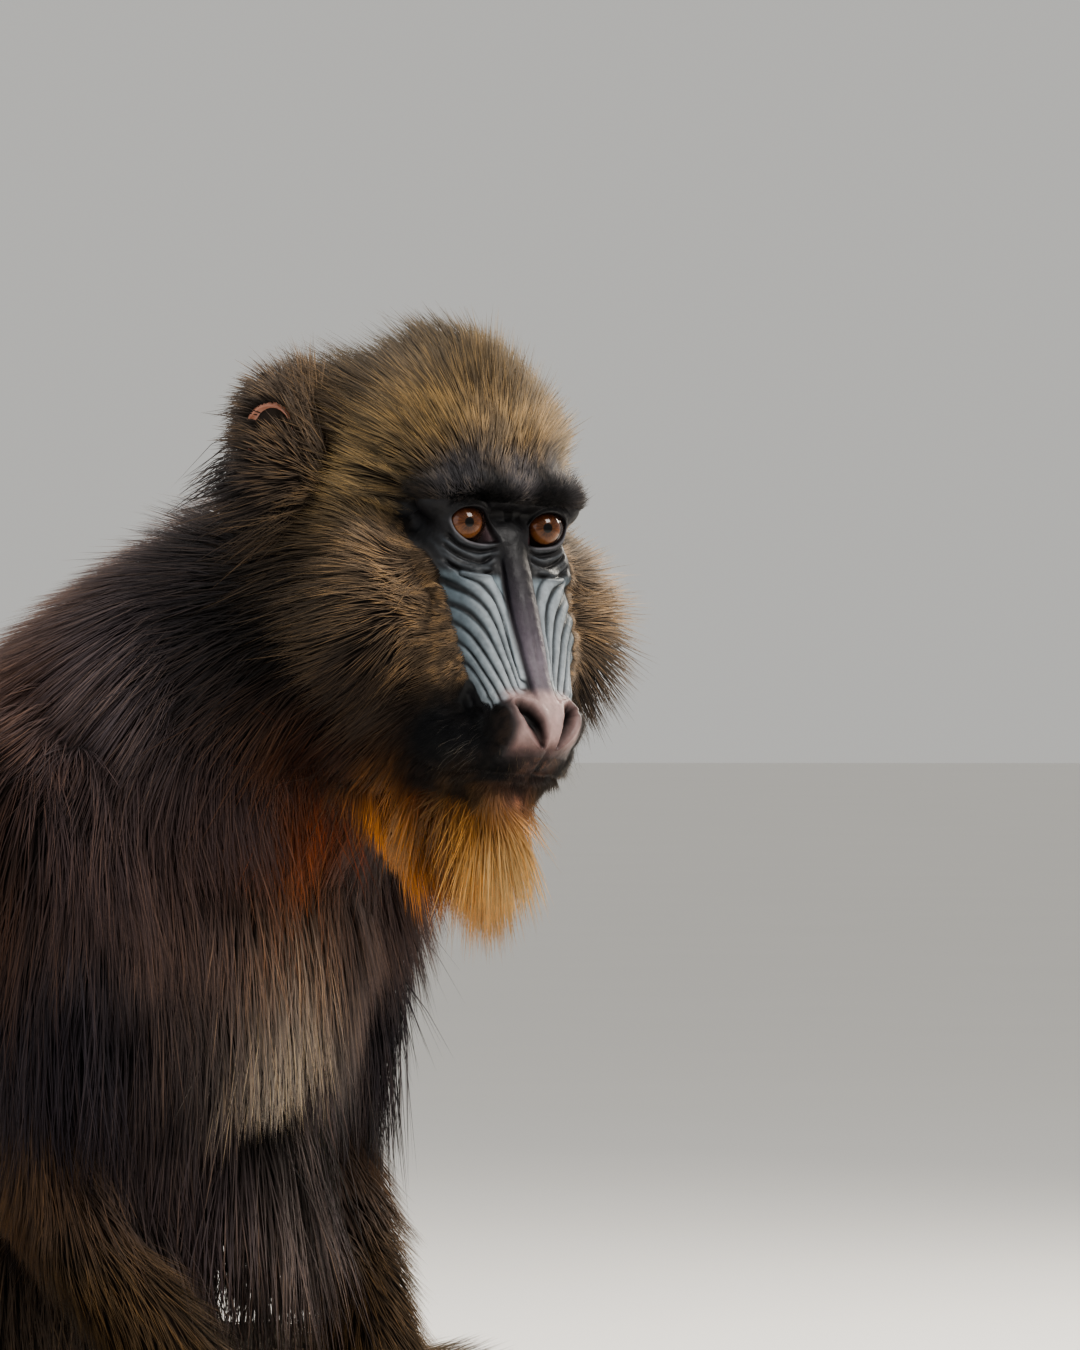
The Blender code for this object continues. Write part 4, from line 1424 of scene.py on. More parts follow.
@dataclass(frozen=True)
class EyeFinish:
    """A wet eyeball that takes its colours from the mesh.

    Attributes:
        name: The material's name.
        roughness: Roughness under the tear film.
        film_roughness: Roughness of the tear film.
        film_ior: How strongly the tear film bends light.
        specular: Strength of the shine under the film.
    """

    name: str
    roughness: float = 0.22
    film_roughness: float = 0.03
    film_ior: float = 1.36
    specular: float = 0.05

    def make(self) -> bpy.types.Material:
        """The finish as a material.

        Returns:
            The new material.
        """
        made, sheet = Sheet.material(self.name)
        marking = sheet.stored("marking", colours=True)
        place = sheet.add("TexCoord").outputs["Object"]
        fibre = sheet.add("TexNoise", {"Vector": place, "Scale": 2600.0, "Detail": 2.0}).outputs[0]
        shade = sheet.shaded(marking, sheet.ramp(fibre, 0.3, 0.7, 0.86, 1.14))
        sheet.surface(
            {"Base Color": shade},
            Roughness=self.roughness,
            Coat_Weight=1.0,
            Coat_Roughness=self.film_roughness,
            Coat_IOR=self.film_ior,
            Specular_IOR_Level=self.specular,
        )
        return made


@dataclass
class Skin:
    """One skin for head, trunk, limbs and tail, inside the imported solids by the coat's depth.

    Attributes:
        head: The head's frame.
        form: The face's rounded form.
        relief: The face's ridges, folds and markings.
        coat: The coat's depth and colours.
        first_voxel: Grid pitch of the outline before it shrinks, in metres.
        voxel: Grid pitch of the finished skin, in metres.
        steps: Steps in which the outline shrinks by the coat's depth.
        fillers: Balls that fill the hollows behind the ears, as place and half sizes.
        eye_growth: How much the eyeballs are swollen so that no hollow is left round them.
        kept_apart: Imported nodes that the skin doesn't stand for.
        ob: The skin's object.
        places: Its vertices' places.
        faces: Its triangles.
        normals: Its vertices' normals.
        form_places: The vertices in the head's frame, before the relief.
    """

    head: HeadFrame
    form: FaceForm
    relief: FaceRelief
    coat: CoatMap
    first_voxel: float = 0.0024
    voxel: float = 0.0034
    steps: int = 6
    fillers: tuple = (((29, -62, 40), (30, 30, 30)),)
    eye_growth: float = 1.12
    kept_apart: tuple[str, ...] = ("beard", "ear_left", "ear_right", "eye_left", "eye_right")
    ob: bpy.types.Object | None = None
    places: Array | None = None
    faces: Array | None = None
    normals: Array | None = None
    form_places: Array | None = None

    def flesh(self, frame: dict) -> list[str]:
        """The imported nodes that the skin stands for."""
        return sorted(set(frame["nodes"]) - set(self.kept_apart))

    def gather(self, frame: dict) -> bpy.types.Object:
        """All packed flesh as one object.


        Returns:
            A new object that holds the solids, eyeballs included so that no hollow is left.
        """
        parts = [Mesh.arrays(frame["nodes"][name]) for name in self.flesh(frame)]
        for side in Side:
            points, triangles = Mesh.arrays(frame["nodes"][f"eye_{side.label()}"])
            middle = points.mean(axis=0)
            parts.append((middle + (points - middle) * self.eye_growth, triangles))
        ball, triangles = unit_ball(3)
        for side in Side:
            for middle, sizes in self.fillers:
                local = ball * np.array(sizes) + np.array(middle) * np.array([side.value, 1.0, 1.0])
                parts.append((self.head.world(local), triangles))
        return Mesh.create("skin", *stacked(parts))

    def shrink(self) -> None:
        """Moves the outline inward by the coat's depth, a little at a time."""
        places, faces = Mesh.arrays(self.ob)
        depth = Mesh.relax(self.coat.depth(places)[:, None], faces, 0.5, 12)[:, 0] * MM
        soft = smooth(depth, 0.0005, 0.004)[:, None]
        for _ in range(self.steps):
            places = places - Mesh.normals(places, faces) * (depth / self.steps)[:, None]
            places = Mesh.relax(places, faces, 0.45 * soft, 2)
        places[:, 2] = np.maximum(places[:, 2], 0.0)
        Mesh.move(self.ob, places)

    def refine(self) -> None:
        """Cuts the face, hands and feet into smaller faces, finest round eyes and ridges."""
        for level in range(3):
            centres = Mesh.face_centres(self.ob)
            local = self.head.local(centres)
            line = self.relief.hairline(local)
            side, front, up = np.abs(local[:, 0]), local[:, 1], local[:, 2]
            beyond, back = ((9.0, -26), (5.0, -24), (1.0, -16))[level]
            face = (line < beyond) & (front > back) & (centres[:, 2] > 0.3)
            if level == 2:
                face &= (up < 11) & (up > -96) & (side < 31)
            ends = (centres[:, 2] < 0.052) & (centres[:, 1] < -0.085) & (level == 0)
            Mesh.split_faces(self.ob, face | ends)

    def sculpt(self) -> None:
        """Lays the face on its form, then adds ridges, folds, lids and nostrils."""
        places, faces = Mesh.arrays(self.ob)
        ends = (places[:, 2] < 0.055) & (places[:, 1] < -0.08) & (places[:, 2] > 0.001)
        places = Mesh.relax(places, faces, 0.4 * ends[:, None], 3)
        local = self.head.local(places)
        line = self.relief.hairline(local)
        zone = np.flatnonzero((line < 10.0) & (places[:, 2] > 0.3) & (local[:, 1] > -34))
        rounded = local[zone]
        for _ in range(2):
            rounded = self.form.settle(rounded, 3)
            moved = local.copy()
            moved[zone] = rounded
            moved = Mesh.relax(moved, faces, 0.5, 3)
            rounded = moved[zone]
        rounded = self.form.settle(rounded, 4)
        share = smooth(self.relief.hairline(rounded), 9.0, 1.0)
        self.form_places = local.copy()
        self.form_places[zone] = rounded
        outward = unit(self.form.slope(rounded))
        relieved = rounded + outward * self.relief.height(rounded)[:, None]
        inward = np.array([0.0, -1.0, 0.0])
        relieved = relieved + self.relief.open_eyes(rounded)[:, None] * inward
        local[zone] = mix(local[zone], relieved, share)
        line = self.relief.hairline(self.form_places)
        edge = smooth(line, -3.0, 0.0) * smooth(line, 16, 11)
        edge = edge * smooth(places[:, 2], 0.3, HEAD_LEVEL) * smooth(local[:, 1], -40, -34)
        local = Mesh.relax(local, faces, 0.5 * edge[:, None], 8)
        self.places, self.faces = self.head.world(local), faces

    def colour(self) -> None:
        """Writes the markings of skin and face on the mesh."""
        lie = self.coat.at(self.places)
        under = mix(lie["root"], lie["tip"], 0.12) * 0.8
        local = self.form_places
        painted = self.relief.paint(local, under)
        front = smooth(self.places[:, 2], 0.305, 0.315) * smooth(local[:, 1], -36, -30)
        colours = mix(under, painted, front)
        bare = smooth(lie["depth"], 2.4, 1.2) * smooth(self.places[:, 2], 0.07, 0.05)
        hands = colour("1d191b") * (0.8 + 0.5 * lattice_noise(self.places, 0.006, 31))[:, None]
        colours = mix(colours, hands, bare)
        sole = smooth(self.places[:, 2], 0.004, 0.0015) * smooth(self.places[:, 1], 0.05, 0.02)
        colours = mix(colours, colour("3a2e2c"), sole * 0.8)
        seat = smooth(self.places[:, 2], 0.012, 0.003) * smooth(self.places[:, 1], 0.05, 0.09)
        colours = mix(colours, colour("6b4a50"), seat)
        Mesh.tint(self.ob, "marking", colours)
        bald = np.where(front > 0.5, smooth(self.relief.hairline(local), 1.5, -1.0), np.maximum(bare, seat))
        Mesh.number(self.ob, "bald", bald)

    def build(self, frame: dict) -> bpy.types.Object:
        """Makes, sculpts and dresses the skin.


        Returns:
            The skin's object.
        """
        self.ob = self.gather(frame)
        Mesh.remesh(self.ob, self.first_voxel, 4)
        self.shrink()
        Mesh.remesh(self.ob, self.voxel, 3)
        self.refine()
        with Mesh.edited(self.ob) as bm:
            bmesh.ops.triangulate(bm, faces=[face for face in bm.faces if len(face.verts) > 4])
        self.sculpt()
        bpy.data.objects.remove(self.ob, do_unlink=True)
        self.ob = Mesh.create("skin", self.places, self.faces)
        self.normals = Mesh.normals(self.places, self.faces)
        self.colour()
        finish = SkinFinish("bare_skin", roughness=0.54, specular=0.32, furred=True)
        self.ob.data.materials.append(finish.make())
        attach(self.ob, ROOT_BODY)
        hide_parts(*self.flesh(frame))
        LOG.info("skin: %d triangles", len(self.faces))
        return self.ob


@dataclass
class Eye:
    """One eyeball with a bulging cornea, iris, pupil and dark rim.

    Attributes:
        head: The head's frame.
        sizes: The eye's sizes.
        side: Which eye it is.
        near_rings: Rings from the pupil's middle to just past the iris.
        far_rings: Rings from there to the back.
        spokes: Points on each ring.
    """

    head: HeadFrame
    sizes: EyeSizes
    side: Side
    near_rings: int = 41
    far_rings: int = 14
    spokes: int = 96

    def reach(self, angle: Array) -> Array:
        """Distance from the eyeball's middle to its surface.

        Args:
            angle: Angles from the gaze in radians.

        Returns:
            Millimetres.
        """
        limbus = math.radians(self.sizes.iris_angle)
        radius, bulge = self.sizes.radius, self.sizes.cornea_radius
        middle = radius * math.cos(limbus) - math.sqrt(bulge**2 - (radius * math.sin(limbus)) ** 2)
        dome = middle * np.cos(angle) + np.sqrt(np.maximum(bulge**2 - (middle * np.sin(angle)) ** 2, 0.0))
        return radius + (dome - radius) * smooth(angle, limbus + 0.03, limbus - 0.03)

    def colours(self, angle: Array, turn: Array) -> Array:
        """Colours of pupil, iris, rim and white.

        Args:
            angle: Angles from the gaze in radians.
            turn: Angles round the gaze in radians.

        Returns:
            Rows of linear colours, with painted lid shade darkening the upper iris.
        """
        part = np.degrees(angle) / self.sizes.iris_angle
        spoke = np.column_stack([np.cos(turn) * 3.0, np.sin(turn) * 3.0, part * 0.5])
        fibre = lattice_noise(spoke, 0.14, 41)
        patch = lattice_noise(spoke, 0.5, 42)
        iris = mix(colour("5c3623"), colour("34200f"), smooth(part, 0.62, 0.30) * 0.7)
        iris = mix(iris, colour("6f462a"), 0.55 * smooth(fibre, 0.45, 0.8))
        iris = mix(iris, colour("301a12"), 0.5 * smooth(fibre, 0.45, 0.15))
        low = smooth(np.sin(turn), 0.2, -0.9)
        iris = mix(iris, colour("80552f"), 0.55 * low * smooth(part, 0.35, 0.7))
        iris = mix(iris, colour("44261a"), 0.3 * smooth(patch, 0.6, 0.9))
        # Painted shade of the upper lid: the iris is darkened towards its top.
        iris = mix(iris, iris * 0.3, smooth(np.sin(turn), -0.2, 0.9) * smooth(part, 0.25, 0.8)) * 0.85
        iris = mix(iris, colour("140a07"), smooth(part, 0.80, 0.98))
        pupil = self.sizes.pupil_angle / self.sizes.iris_angle
        iris = mix(iris, colour("040303"), smooth(part, pupil * 1.12, pupil * 0.92))
        white = mix(colour("1c100d"), colour("33241f"), smooth(part, 1.05, 1.5))
        return mix(iris, white, smooth(part, 0.98, 1.04))

    def build(self) -> bpy.types.Object:
        """Makes and dresses the eyeball.

        Returns:
            The eyeball's object.
        """
        rim = 1.15
        near = np.linspace(0.0, rim, self.near_rings + 1)[1:]
        far = np.linspace(rim, 180.0 / self.sizes.iris_angle, self.far_rings + 2)[1:-1]
        parts = np.concatenate([near, far]) * math.radians(self.sizes.iris_angle)
        turns = np.arange(self.spokes) * 2 * math.pi / self.spokes
        angle = np.concatenate([[0.0], np.repeat(parts, self.spokes), [math.pi]])
        turn = np.concatenate([[0.0], np.tile(turns, len(parts)), [0.0]])
        gaze_turn = math.radians(self.sizes.gaze_turn)
        drop = math.radians(self.sizes.gaze_drop)
        gaze = unit(np.array([-math.sin(gaze_turn), math.cos(gaze_turn), -math.sin(drop)]))
        right = unit(np.cross(gaze, [0.0, 0.0, 1.0]))
        above = np.cross(right, gaze)
        out = np.cos(angle)[:, None] * gaze
        out = out + np.sin(angle)[:, None] * (np.cos(turn)[:, None] * right + np.sin(turn)[:, None] * above)
        places = self.sizes.centre(self.side) + out * self.reach(angle)[:, None]
        index = np.arange(self.spokes)
        following = (index + 1) % self.spokes
        faces = []
        for ring in range(len(parts) - 1):
            base, next_base = 1 + ring * self.spokes, 1 + (ring + 1) * self.spokes
            faces.append(np.column_stack([base + index, next_base + index, next_base + following]))
            faces.append(np.column_stack([base + index, next_base + following, base + following]))
        last, end = 1 + (len(parts) - 1) * self.spokes, len(places) - 1
        faces.append(np.column_stack([np.zeros(self.spokes, int), 1 + index, 1 + following]))
        faces.append(np.column_stack([last + following, last + index, np.full(self.spokes, end)]))
        made = Mesh.create(f"eyeball_{self.side.label()}", self.head.world(places), np.vstack(faces))
        Mesh.outward(made)
        Mesh.tint(made, "marking", self.colours(angle, turn))
        found = bpy.data.materials.get("wet_eye") or EyeFinish("wet_eye").make()
        made.data.materials.append(found)
        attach(made, ROOT_BODY)
        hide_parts(f"eye_{self.side.label()}")
        LOG.info("%s: %d triangles", made.name, len(made.data.polygons))
        return made


@dataclass
class Ear:
    """One pinna: a thin shell with a rolled rim and a hollow on its outer face.

    Attributes:
        head: The head's frame.
        side: Which ear it is.
        place: Its middle in the head's frame, for the left, in millimetres.
        sizes: Half sizes across, front to back and up.
        turn: Degrees by which the back edge stands off the head.
        tilt: Degrees by which the top leans back.
        hollow: Depth of the hollow on the outer face, in millimetres.
    """

    head: HeadFrame
    side: Side
    place: tuple[float, float, float] = (62.0, -76.0, 31.0)
    sizes: tuple[float, float, float] = (4.6, 11.0, 15.0)
    turn: float = 34.0
    tilt: float = 12.0
    hollow: float = 1.6

    def build(self) -> bpy.types.Object:
        """Makes and dresses the ear.

        Returns:
            The ear's object.
        """
        ball, faces = unit_ball(5)
        outer = ball[:, 0] > 0
        reach = np.hypot(ball[:, 1], ball[:, 2])
        shape = ball * np.array(self.sizes)
        shape[:, 1] *= 1.0 + 0.18 * ball[:, 2]
        hollow = self.hollow * smooth(reach, 0.86, 0.45)
        rim = 1.2 * np.exp(-(((reach - 0.90) / 0.07) ** 2))
        inner_fold = 1.6 * np.exp(-(((reach - 0.60) / 0.09) ** 2)) * smooth(ball[:, 1], -0.3, 0.3)
        shape[:, 0] += np.where(outer, rim + inner_fold - hollow, 0.0)
        shape[:, 0] += 2.2 * (ball[:, 1] ** 2 + ball[:, 2] ** 2) - 1.2
        depth = np.where(outer, smooth(reach, 0.8, 0.35), 0.0)
        angles = math.radians(-self.tilt), 0.0, self.side.value * math.radians(-self.turn)
        turning = Euler(angles).to_matrix()
        shape[:, 0] *= self.side.value
        turned = shape @ np.array(turning).T
        turned[:, 1] *= -1.0
        across, forward, up = self.place
        places = turned + np.array([self.side.value * across, forward, up])
        made = Mesh.create(f"pinna_{self.side.label()}", self.head.world(places), faces)
        Mesh.outward(made)
        # Painted shade in the hollow of the ear's outer face: darker towards its middle.
        tone = mix(colour("7f3612"), colour("5c2410"), depth)
        tone = mix(tone, colour("7d4a34"), smooth(-ball[:, 0], 0.1, 0.6) * 0.6)
        Mesh.tint(made, "marking", tone)
        found = bpy.data.materials.get("ear_skin") or SkinFinish("ear_skin", 1200.0, 0.3, 0.5, 0.4).make()
        made.data.materials.append(found)
        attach(made, ROOT_BODY)
        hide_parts(f"ear_{self.side.label()}")
        LOG.info("%s: %d triangles", made.name, len(faces))
        return made


@dataclass
class Outline:
    """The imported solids' outer surface, which the tips of the coat keep to."""

    tree: BVHTree

    @classmethod
    def of(cls, frame: dict, left_out: tuple[str, ...]) -> Outline:
        """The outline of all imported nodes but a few.

        Args:
            left_out: Nodes that don't count.

        Returns:
            The outline.
        """
        parts = [Mesh.arrays(node) for name, node in frame["nodes"].items() if name not in left_out]
        places, faces = stacked(parts)
        return cls(BVHTree.FromPolygons(places.tolist(), faces.tolist()))

    def beyond(self, points: Array) -> Array:
        """How far points lie outside the solids.

        Args:
            points: Rows in metres.

        Returns:
            Metres, negative within.
        """
        found = np.empty(len(points))
        nearest = self.tree.find_nearest
        for index, point in enumerate(points.tolist()):
            place, normal, _, gap = nearest(point)
            found[index] = math.copysign(gap, (Vector(point) - place).dot(normal))
        return found


@dataclass
class Tufts:
    """A set of tufts ready to become a mesh: one row for each in every array.

    Attributes:
        roots: Where they stand, in metres.
        normals: The skin's normals there.
        first: Directions at the root.
        second: Directions at the tip.
        lengths: In metres.
        widths: Widths at the root in metres.
        root_tones: Linear colours at the root.
        tip_tones: Linear colours at the tip.
        tones: How light each tuft is, from 0 to 1.
        patches: The middle of each tuft's patch on the bake map.
        taper: The share of its width that a tuft loses before its tip.
        flatness: A tuft's height over its half width.
        patch_half: Half the side of a patch on the bake map.
    """

    roots: Array
    normals: Array
    first: Array
    second: Array
    lengths: Array
    widths: Array
    root_tones: Array
    tip_tones: Array
    tones: Array
    patches: Array
    taper: float = 0.55
    flatness: float = 0.7
    patch_half: float = 0.0015

    def rings(self, kind: TuftKind, sink: float) -> tuple[Array, Array]:
        """The vertices of all tufts: three on each ring and one at the tip.

        Args:
            kind: How many rings each tuft has.
            sink: How deep the roots stand in the skin, in metres.

        Returns:
            Places with a row for each tuft, and how far along the tuft each vertex lies.
        """
        side, lift = self.across()
        start = self.roots - self.normals * sink
        rows, alongs = [], []
        for ring in range(kind.value + 1):
            part = ring / kind.value
            bend = part * part
            path = self.first * (part - bend / 2) + self.second * (bend / 2)
            place = start + path * self.lengths[:, None]
            if ring == kind.value:
                corners = [place]
            else:
                half = (self.widths * 0.5 * (1.0 - self.taper * part))[:, None]
                corners = [place + side * half, place - side * half, place + lift * half * self.flatness]
            rows.append(np.stack(corners, axis=1))
            alongs += [part] * len(corners)
        return np.concatenate(rows, axis=1), np.array(alongs)

    def across(self) -> tuple[Array, Array]:
        """Directions across each tuft.

        Returns:
            Rows that point sideways, and rows that point away from the skin.
        """
        side = unit(np.cross(self.normals, self.first))
        lift = unit(np.cross(self.first, side))
        return side, np.where((lift * self.normals).sum(axis=1, keepdims=True) < 0, -lift, lift)

    @staticmethod
    def pattern(rings: int) -> Array:
        """The triangles of one tuft.

        Args:
            rings: How many rings it has below its tip.

        Returns:
            Rows of three vertex numbers.
        """
        faces = []
        for ring in range(rings):
            base, above = 3 * ring, 3 * (ring + 1)
            for corner in range(3):
                following = (corner + 1) % 3
                if ring == rings - 1:
                    faces.append((base + corner, base + following, above))
                else:
                    faces.append((base + corner, base + following, above + following))
                    faces.append((base + corner, above + following, above + corner))
        faces.append((2, 1, 0))
        return np.array(faces, np.int64)

    def build(self, name: str, kind: TuftKind, sink: float = 0.0006) -> bpy.types.Object:
        """The tufts as one mesh.

        Args:
            name: The piece's name.
            kind: How many rings each tuft has.
            sink: How deep the roots stand in the skin, in metres.

        Returns:
            The new object.
        """
        points, along = self.rings(kind, sink)
        count, each = points.shape[:2]
        triangles = (np.arange(count)[:, None, None] * each + self.pattern(kind.value)[None]).reshape(-1, 3)
        places = points.reshape(-1, 3)
        side, lift = self.across()
        if np.einsum("ij,ij->i", np.cross(side, lift), self.first).mean() > 0:
            triangles = triangles[:, ::-1]
        made = Mesh.create(name, places, triangles)
        Mesh.number(made, "along", np.tile(along, count))
        Mesh.number(made, "tone", np.repeat(self.tones, each))
        Mesh.tint(made, "root_shade", np.repeat(self.root_tones, each, axis=0))
        Mesh.tint(made, "tip_shade", np.repeat(self.tip_tones, each, axis=0))
        shape = Mesh.normals(places, triangles)
        leaning = unit(shape * 0.45 + np.repeat(self.normals, each, axis=0) * 0.75)
        made.data.normals_split_custom_set_from_vertices(leaning.tolist())
        sideways = [-1.0, 1.0, 0.0] * kind.value + [0.0]
        spread = np.column_stack([sideways, along * 2.0 - 1.0])
        patch = self.patches[:, None, :] + spread[None] * self.patch_half
        layer = made.data.uv_layers.new(name=BAKE_MAP)
        layer.uv.foreach_set("vector", patch.reshape(-1, 2)[triangles.ravel()].astype(np.float32).ravel())
        return made


@dataclass(frozen=True)
class CoatPiece:
    """One stretch of the coat.

    Attributes:
        name: The piece's name.
        slot: The record's finish.
        kind: How its tufts are built.
        triangles: How many triangles it holds in all.
        replaced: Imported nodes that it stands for.
    """

    name: str
    slot: str
    kind: TuftKind
    triangles: int
    replaced: tuple[str, ...] = ()


@dataclass
class Coat:
    """All fur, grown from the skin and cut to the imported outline.

    Attributes:
        head: The head's frame.
        skin: The finished skin.
        lie: The coat's lie, depth and colours.
        relief: The face, for its hairline.
        outline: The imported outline.
        reach: How far a tip may stand out of the outline, in metres.
        fringe: How much further the belly's fringe may reach, in metres.
        clearance: The lowest height of a tip over the floor, in metres.
        shortest: The least length of a tuft, in metres.
        short_depth: Millimetres of depth below which a tuft is straight.
        least_tufts: Fewer tufts than this make no piece.
        trims: How often a tuft that stands out too far is shortened.
        trim_share: The share of its length that it keeps each time.
        wisp_share: The share of the head's tufts that are wisps.
        ear_place: Middle of the clear room over the left ear, in the head's frame.
        ear_room: Half sizes of that room, in millimetres.
        seed: Starts the chance.
    """

    head: HeadFrame
    skin: Skin
    lie: CoatMap
    relief: FaceRelief
    outline: Outline
    reach: float = 0.006
    fringe: float = 0.030
    clearance: float = 0.002
    shortest: float = 0.0018
    short_depth: float = 13.5
    least_tufts: int = 40
    trims: int = 3
    trim_share: float = 0.78
    wisp_share: float = 0.14
    ear_place: tuple[float, float, float] = (64.5, -71.0, 38.0)
    ear_room: tuple[float, float, float] = (5.5, 9.0, 7.0)
    seed: int = 20

    def region(self, points: Array) -> Array:
        """Which stretch each point belongs to.

        Args:
            points: Rows in metres.

        Returns:
            Numbers of the stretches.
        """
        on_head = self.head_mask(points)
        x, y, z = points.T
        across = np.abs(x)
        forearm = (z <= 0.17) & (z > 0.02) & (y < 0.03) & (across < 0.115) & (across > 0.02)
        body = {
            Stretch.BACK: (y > 0.05) & (z > 0.2),
            Stretch.HIPS: (z <= 0.2) & (y > -0.03),
            Stretch.SHOULDER_LEFT: (x > 0.035) & (z > 0.17) & (y < 0.06),
            Stretch.SHOULDER_RIGHT: (x < -0.035) & (z > 0.17) & (y < 0.06),
            Stretch.CHEST: (across <= 0.035) & (z > 0.13) & (y < 0.04),
            Stretch.FOREARMS: forearm,
            Stretch.NECK: (z > 0.36) & ~on_head & (y < 0.05),
        }
        side, front, up = self.head.local(points).T
        under_jaw = -110.0 + 0.45 * np.clip(-front - 4, 0, 26)
        before = front < 14 + (up + 103) * 0.4
        head = {
            Stretch.CHEEK_LEFT: side > 0,
            Stretch.CROWN: up > 28,
            Stretch.OCCIPUT: (up <= 28) & (front < -72),
            Stretch.BEARD: (up < under_jaw) & (front > -50) & before & (np.abs(side) < 31),
        }
        found = self.last_true(body, Stretch.LEGS, len(points))
        return np.where(on_head, self.last_true(head, Stretch.CHEEK_RIGHT, len(points)), found)

    @staticmethod
    def last_true(zones: dict[Stretch, Array], other: Stretch, count: int) -> Array:
        """The last zone that each point lies in.

        Args:
            zones: Whether each point lies in each stretch.
            other: The stretch of points that lie in none.
            count: How many points there are.

        Returns:
            Numbers of the stretches.
        """
        found = np.full(count, int(other))
        for stretch, inside in zones.items():
            found[inside] = int(stretch)
        return found

    @staticmethod
    def pieces() -> tuple[CoatPiece, ...]:
        """The coat's pieces.

        Returns:
            One for each stretch, in the order of the stretches' numbers.
        """
        return (
            CoatPiece("coat_cheek_right", "coat", TuftKind.BENT, 190_000),
            CoatPiece("coat_cheek_left", "coat", TuftKind.BENT, 190_000),
            CoatPiece("coat_crown", "coat", TuftKind.BENT, 150_000),
            CoatPiece("coat_occiput", "coat", TuftKind.BENT, 60_000),
            CoatPiece("coat_beard", "beard", TuftKind.LOCK, 60_000, ("beard",)),
            CoatPiece("coat_neck", "dark_coat", TuftKind.BENT, 110_000),
            CoatPiece("coat_shoulder_left", "dark_coat", TuftKind.BENT, 120_000),
            CoatPiece("coat_shoulder_right", "dark_coat", TuftKind.BENT, 120_000),
            CoatPiece("coat_back", "coat", TuftKind.BENT, 90_000),
            CoatPiece("coat_hips", "coat", TuftKind.BENT, 130_000),
            CoatPiece("coat_chest", "coat", TuftKind.LOCK, 80_000),
            CoatPiece("coat_legs", "coat", TuftKind.BENT, 60_000),
            CoatPiece("coat_forearms", "coat", TuftKind.BENT, 110_000),
        )

    @staticmethod
    def head_mask(points: Array) -> Array:
        """Whether points are on the head, above a plane through the nape and throat."""
        plane = (points[:, 1] + 0.046) * -0.85 + (points[:, 2] - 0.400) * 0.53
        return (plane > 0) & (points[:, 2] > 0.29)

    def sample(self, rng: np.random.Generator) -> dict:
        """Roots over the whole skin.

        Args:
            rng: The seeded source of chance.

        Returns:
            Arrays of place, normal, face, corner shares and the coat's values at each root.
        """
        places, faces, normals = self.skin.places, self.skin.faces, self.skin.normals
        corners = places[faces]
        one, other = corners[:, 1] - corners[:, 0], corners[:, 2] - corners[:, 0]
        area = np.linalg.norm(np.cross(one, other), axis=1) / 2
        centre = corners.mean(axis=1)
        region = self.region(centre)
        values = self.lie.at(centre)
        grown = self.grown(centre, region)
        depth = values["depth"] * grown
        pieces = self.pieces()
        kinds = np.array([piece.kind.triangles() for piece in pieces])
        budgets = np.array([piece.triangles for piece in pieces]) * 1.0
        cost = np.where(self.is_short(depth), TuftKind.SHORT.triangles(), kinds[region])
        amount = self.density(centre, values, grown) * area
        total = np.bincount(region, amount * cost, len(kinds))
        amount *= (budgets / np.maximum(total, 1e-12))[region]
        count = np.floor(amount + rng.random(len(amount))).astype(int)
        face = np.repeat(np.arange(len(faces)), count)
        shares = rng.random((len(face), 2))
        over = shares.sum(axis=1) > 1
        shares[over] = 1 - shares[over]
        shares = np.column_stack([1 - shares.sum(axis=1), shares])
        root = (places[faces[face]] * shares[..., None]).sum(axis=1)
        normal = unit((normals[faces[face]] * shares[..., None]).sum(axis=1))
        return {"face": face, "shares": shares, "root": root, "normal": normal, "region": region[face]}

    def density(self, centre: Array, values: dict, grown: Array) -> Array:
        """How closely tufts stand, before the pieces' budgets are shared out.

        Args:
            centre: The middle of each of the skin's faces, in metres.
            values: The coat round each.
            grown: The share of full length there.

        Returns:
            Tufts to an area, none on eyes, bare face and soles.
        """
        local = self.head.local(centre)
        side, front, up = np.abs(local[:, 0]), local[:, 1], local[:, 2]
        lift = np.radians(values["lift"])
        run = np.maximum(values["depth"] * grown / np.sin(lift) * np.cos(lift), 2.0)
        wanted = values["cover"] / (values["width"] * (0.55 + 0.45 * grown) * run)
        on_head = self.on_face(centre)
        wanted = np.where(on_head & (grown < 0.25), 0.0, wanted)
        eye = inside_distance(np.column_stack([side, up]), self.relief.lines["opening"])
        wanted = np.where(on_head & (front > -20) & (eye < 2.5), 0.0, wanted)
        low = (centre[:, 2] < 0.004) | ((centre[:, 2] < 0.012) & (centre[:, 1] < -0.1))
        wanted = np.where(low, 0.0, wanted)
        return np.where((values["depth"] < 1.3) & (centre[:, 2] < 0.07), wanted * 0.25, wanted)

    def on_face(self, points: Array) -> Array:
        """Whether points are on the front of the head, where the hairline counts."""
        return (points[:, 2] > HEAD_LEVEL) & (self.head.local(points)[:, 1] > -60) & self.head_mask(points)

    def grown(self, points: Array, region: Array) -> Array:
        """The share of full length, from 0 to 1, that a stretch's coat reaches at each point."""
        on_head = self.on_face(points) & (region != Stretch.BEARD)
        return np.where(on_head, self.relief.growth(self.head.local(points)), 1.0)

    def is_short(self, depth: Array) -> Array:
        """Whether a tuft of that depth is a straight short one."""
        return depth < self.short_depth

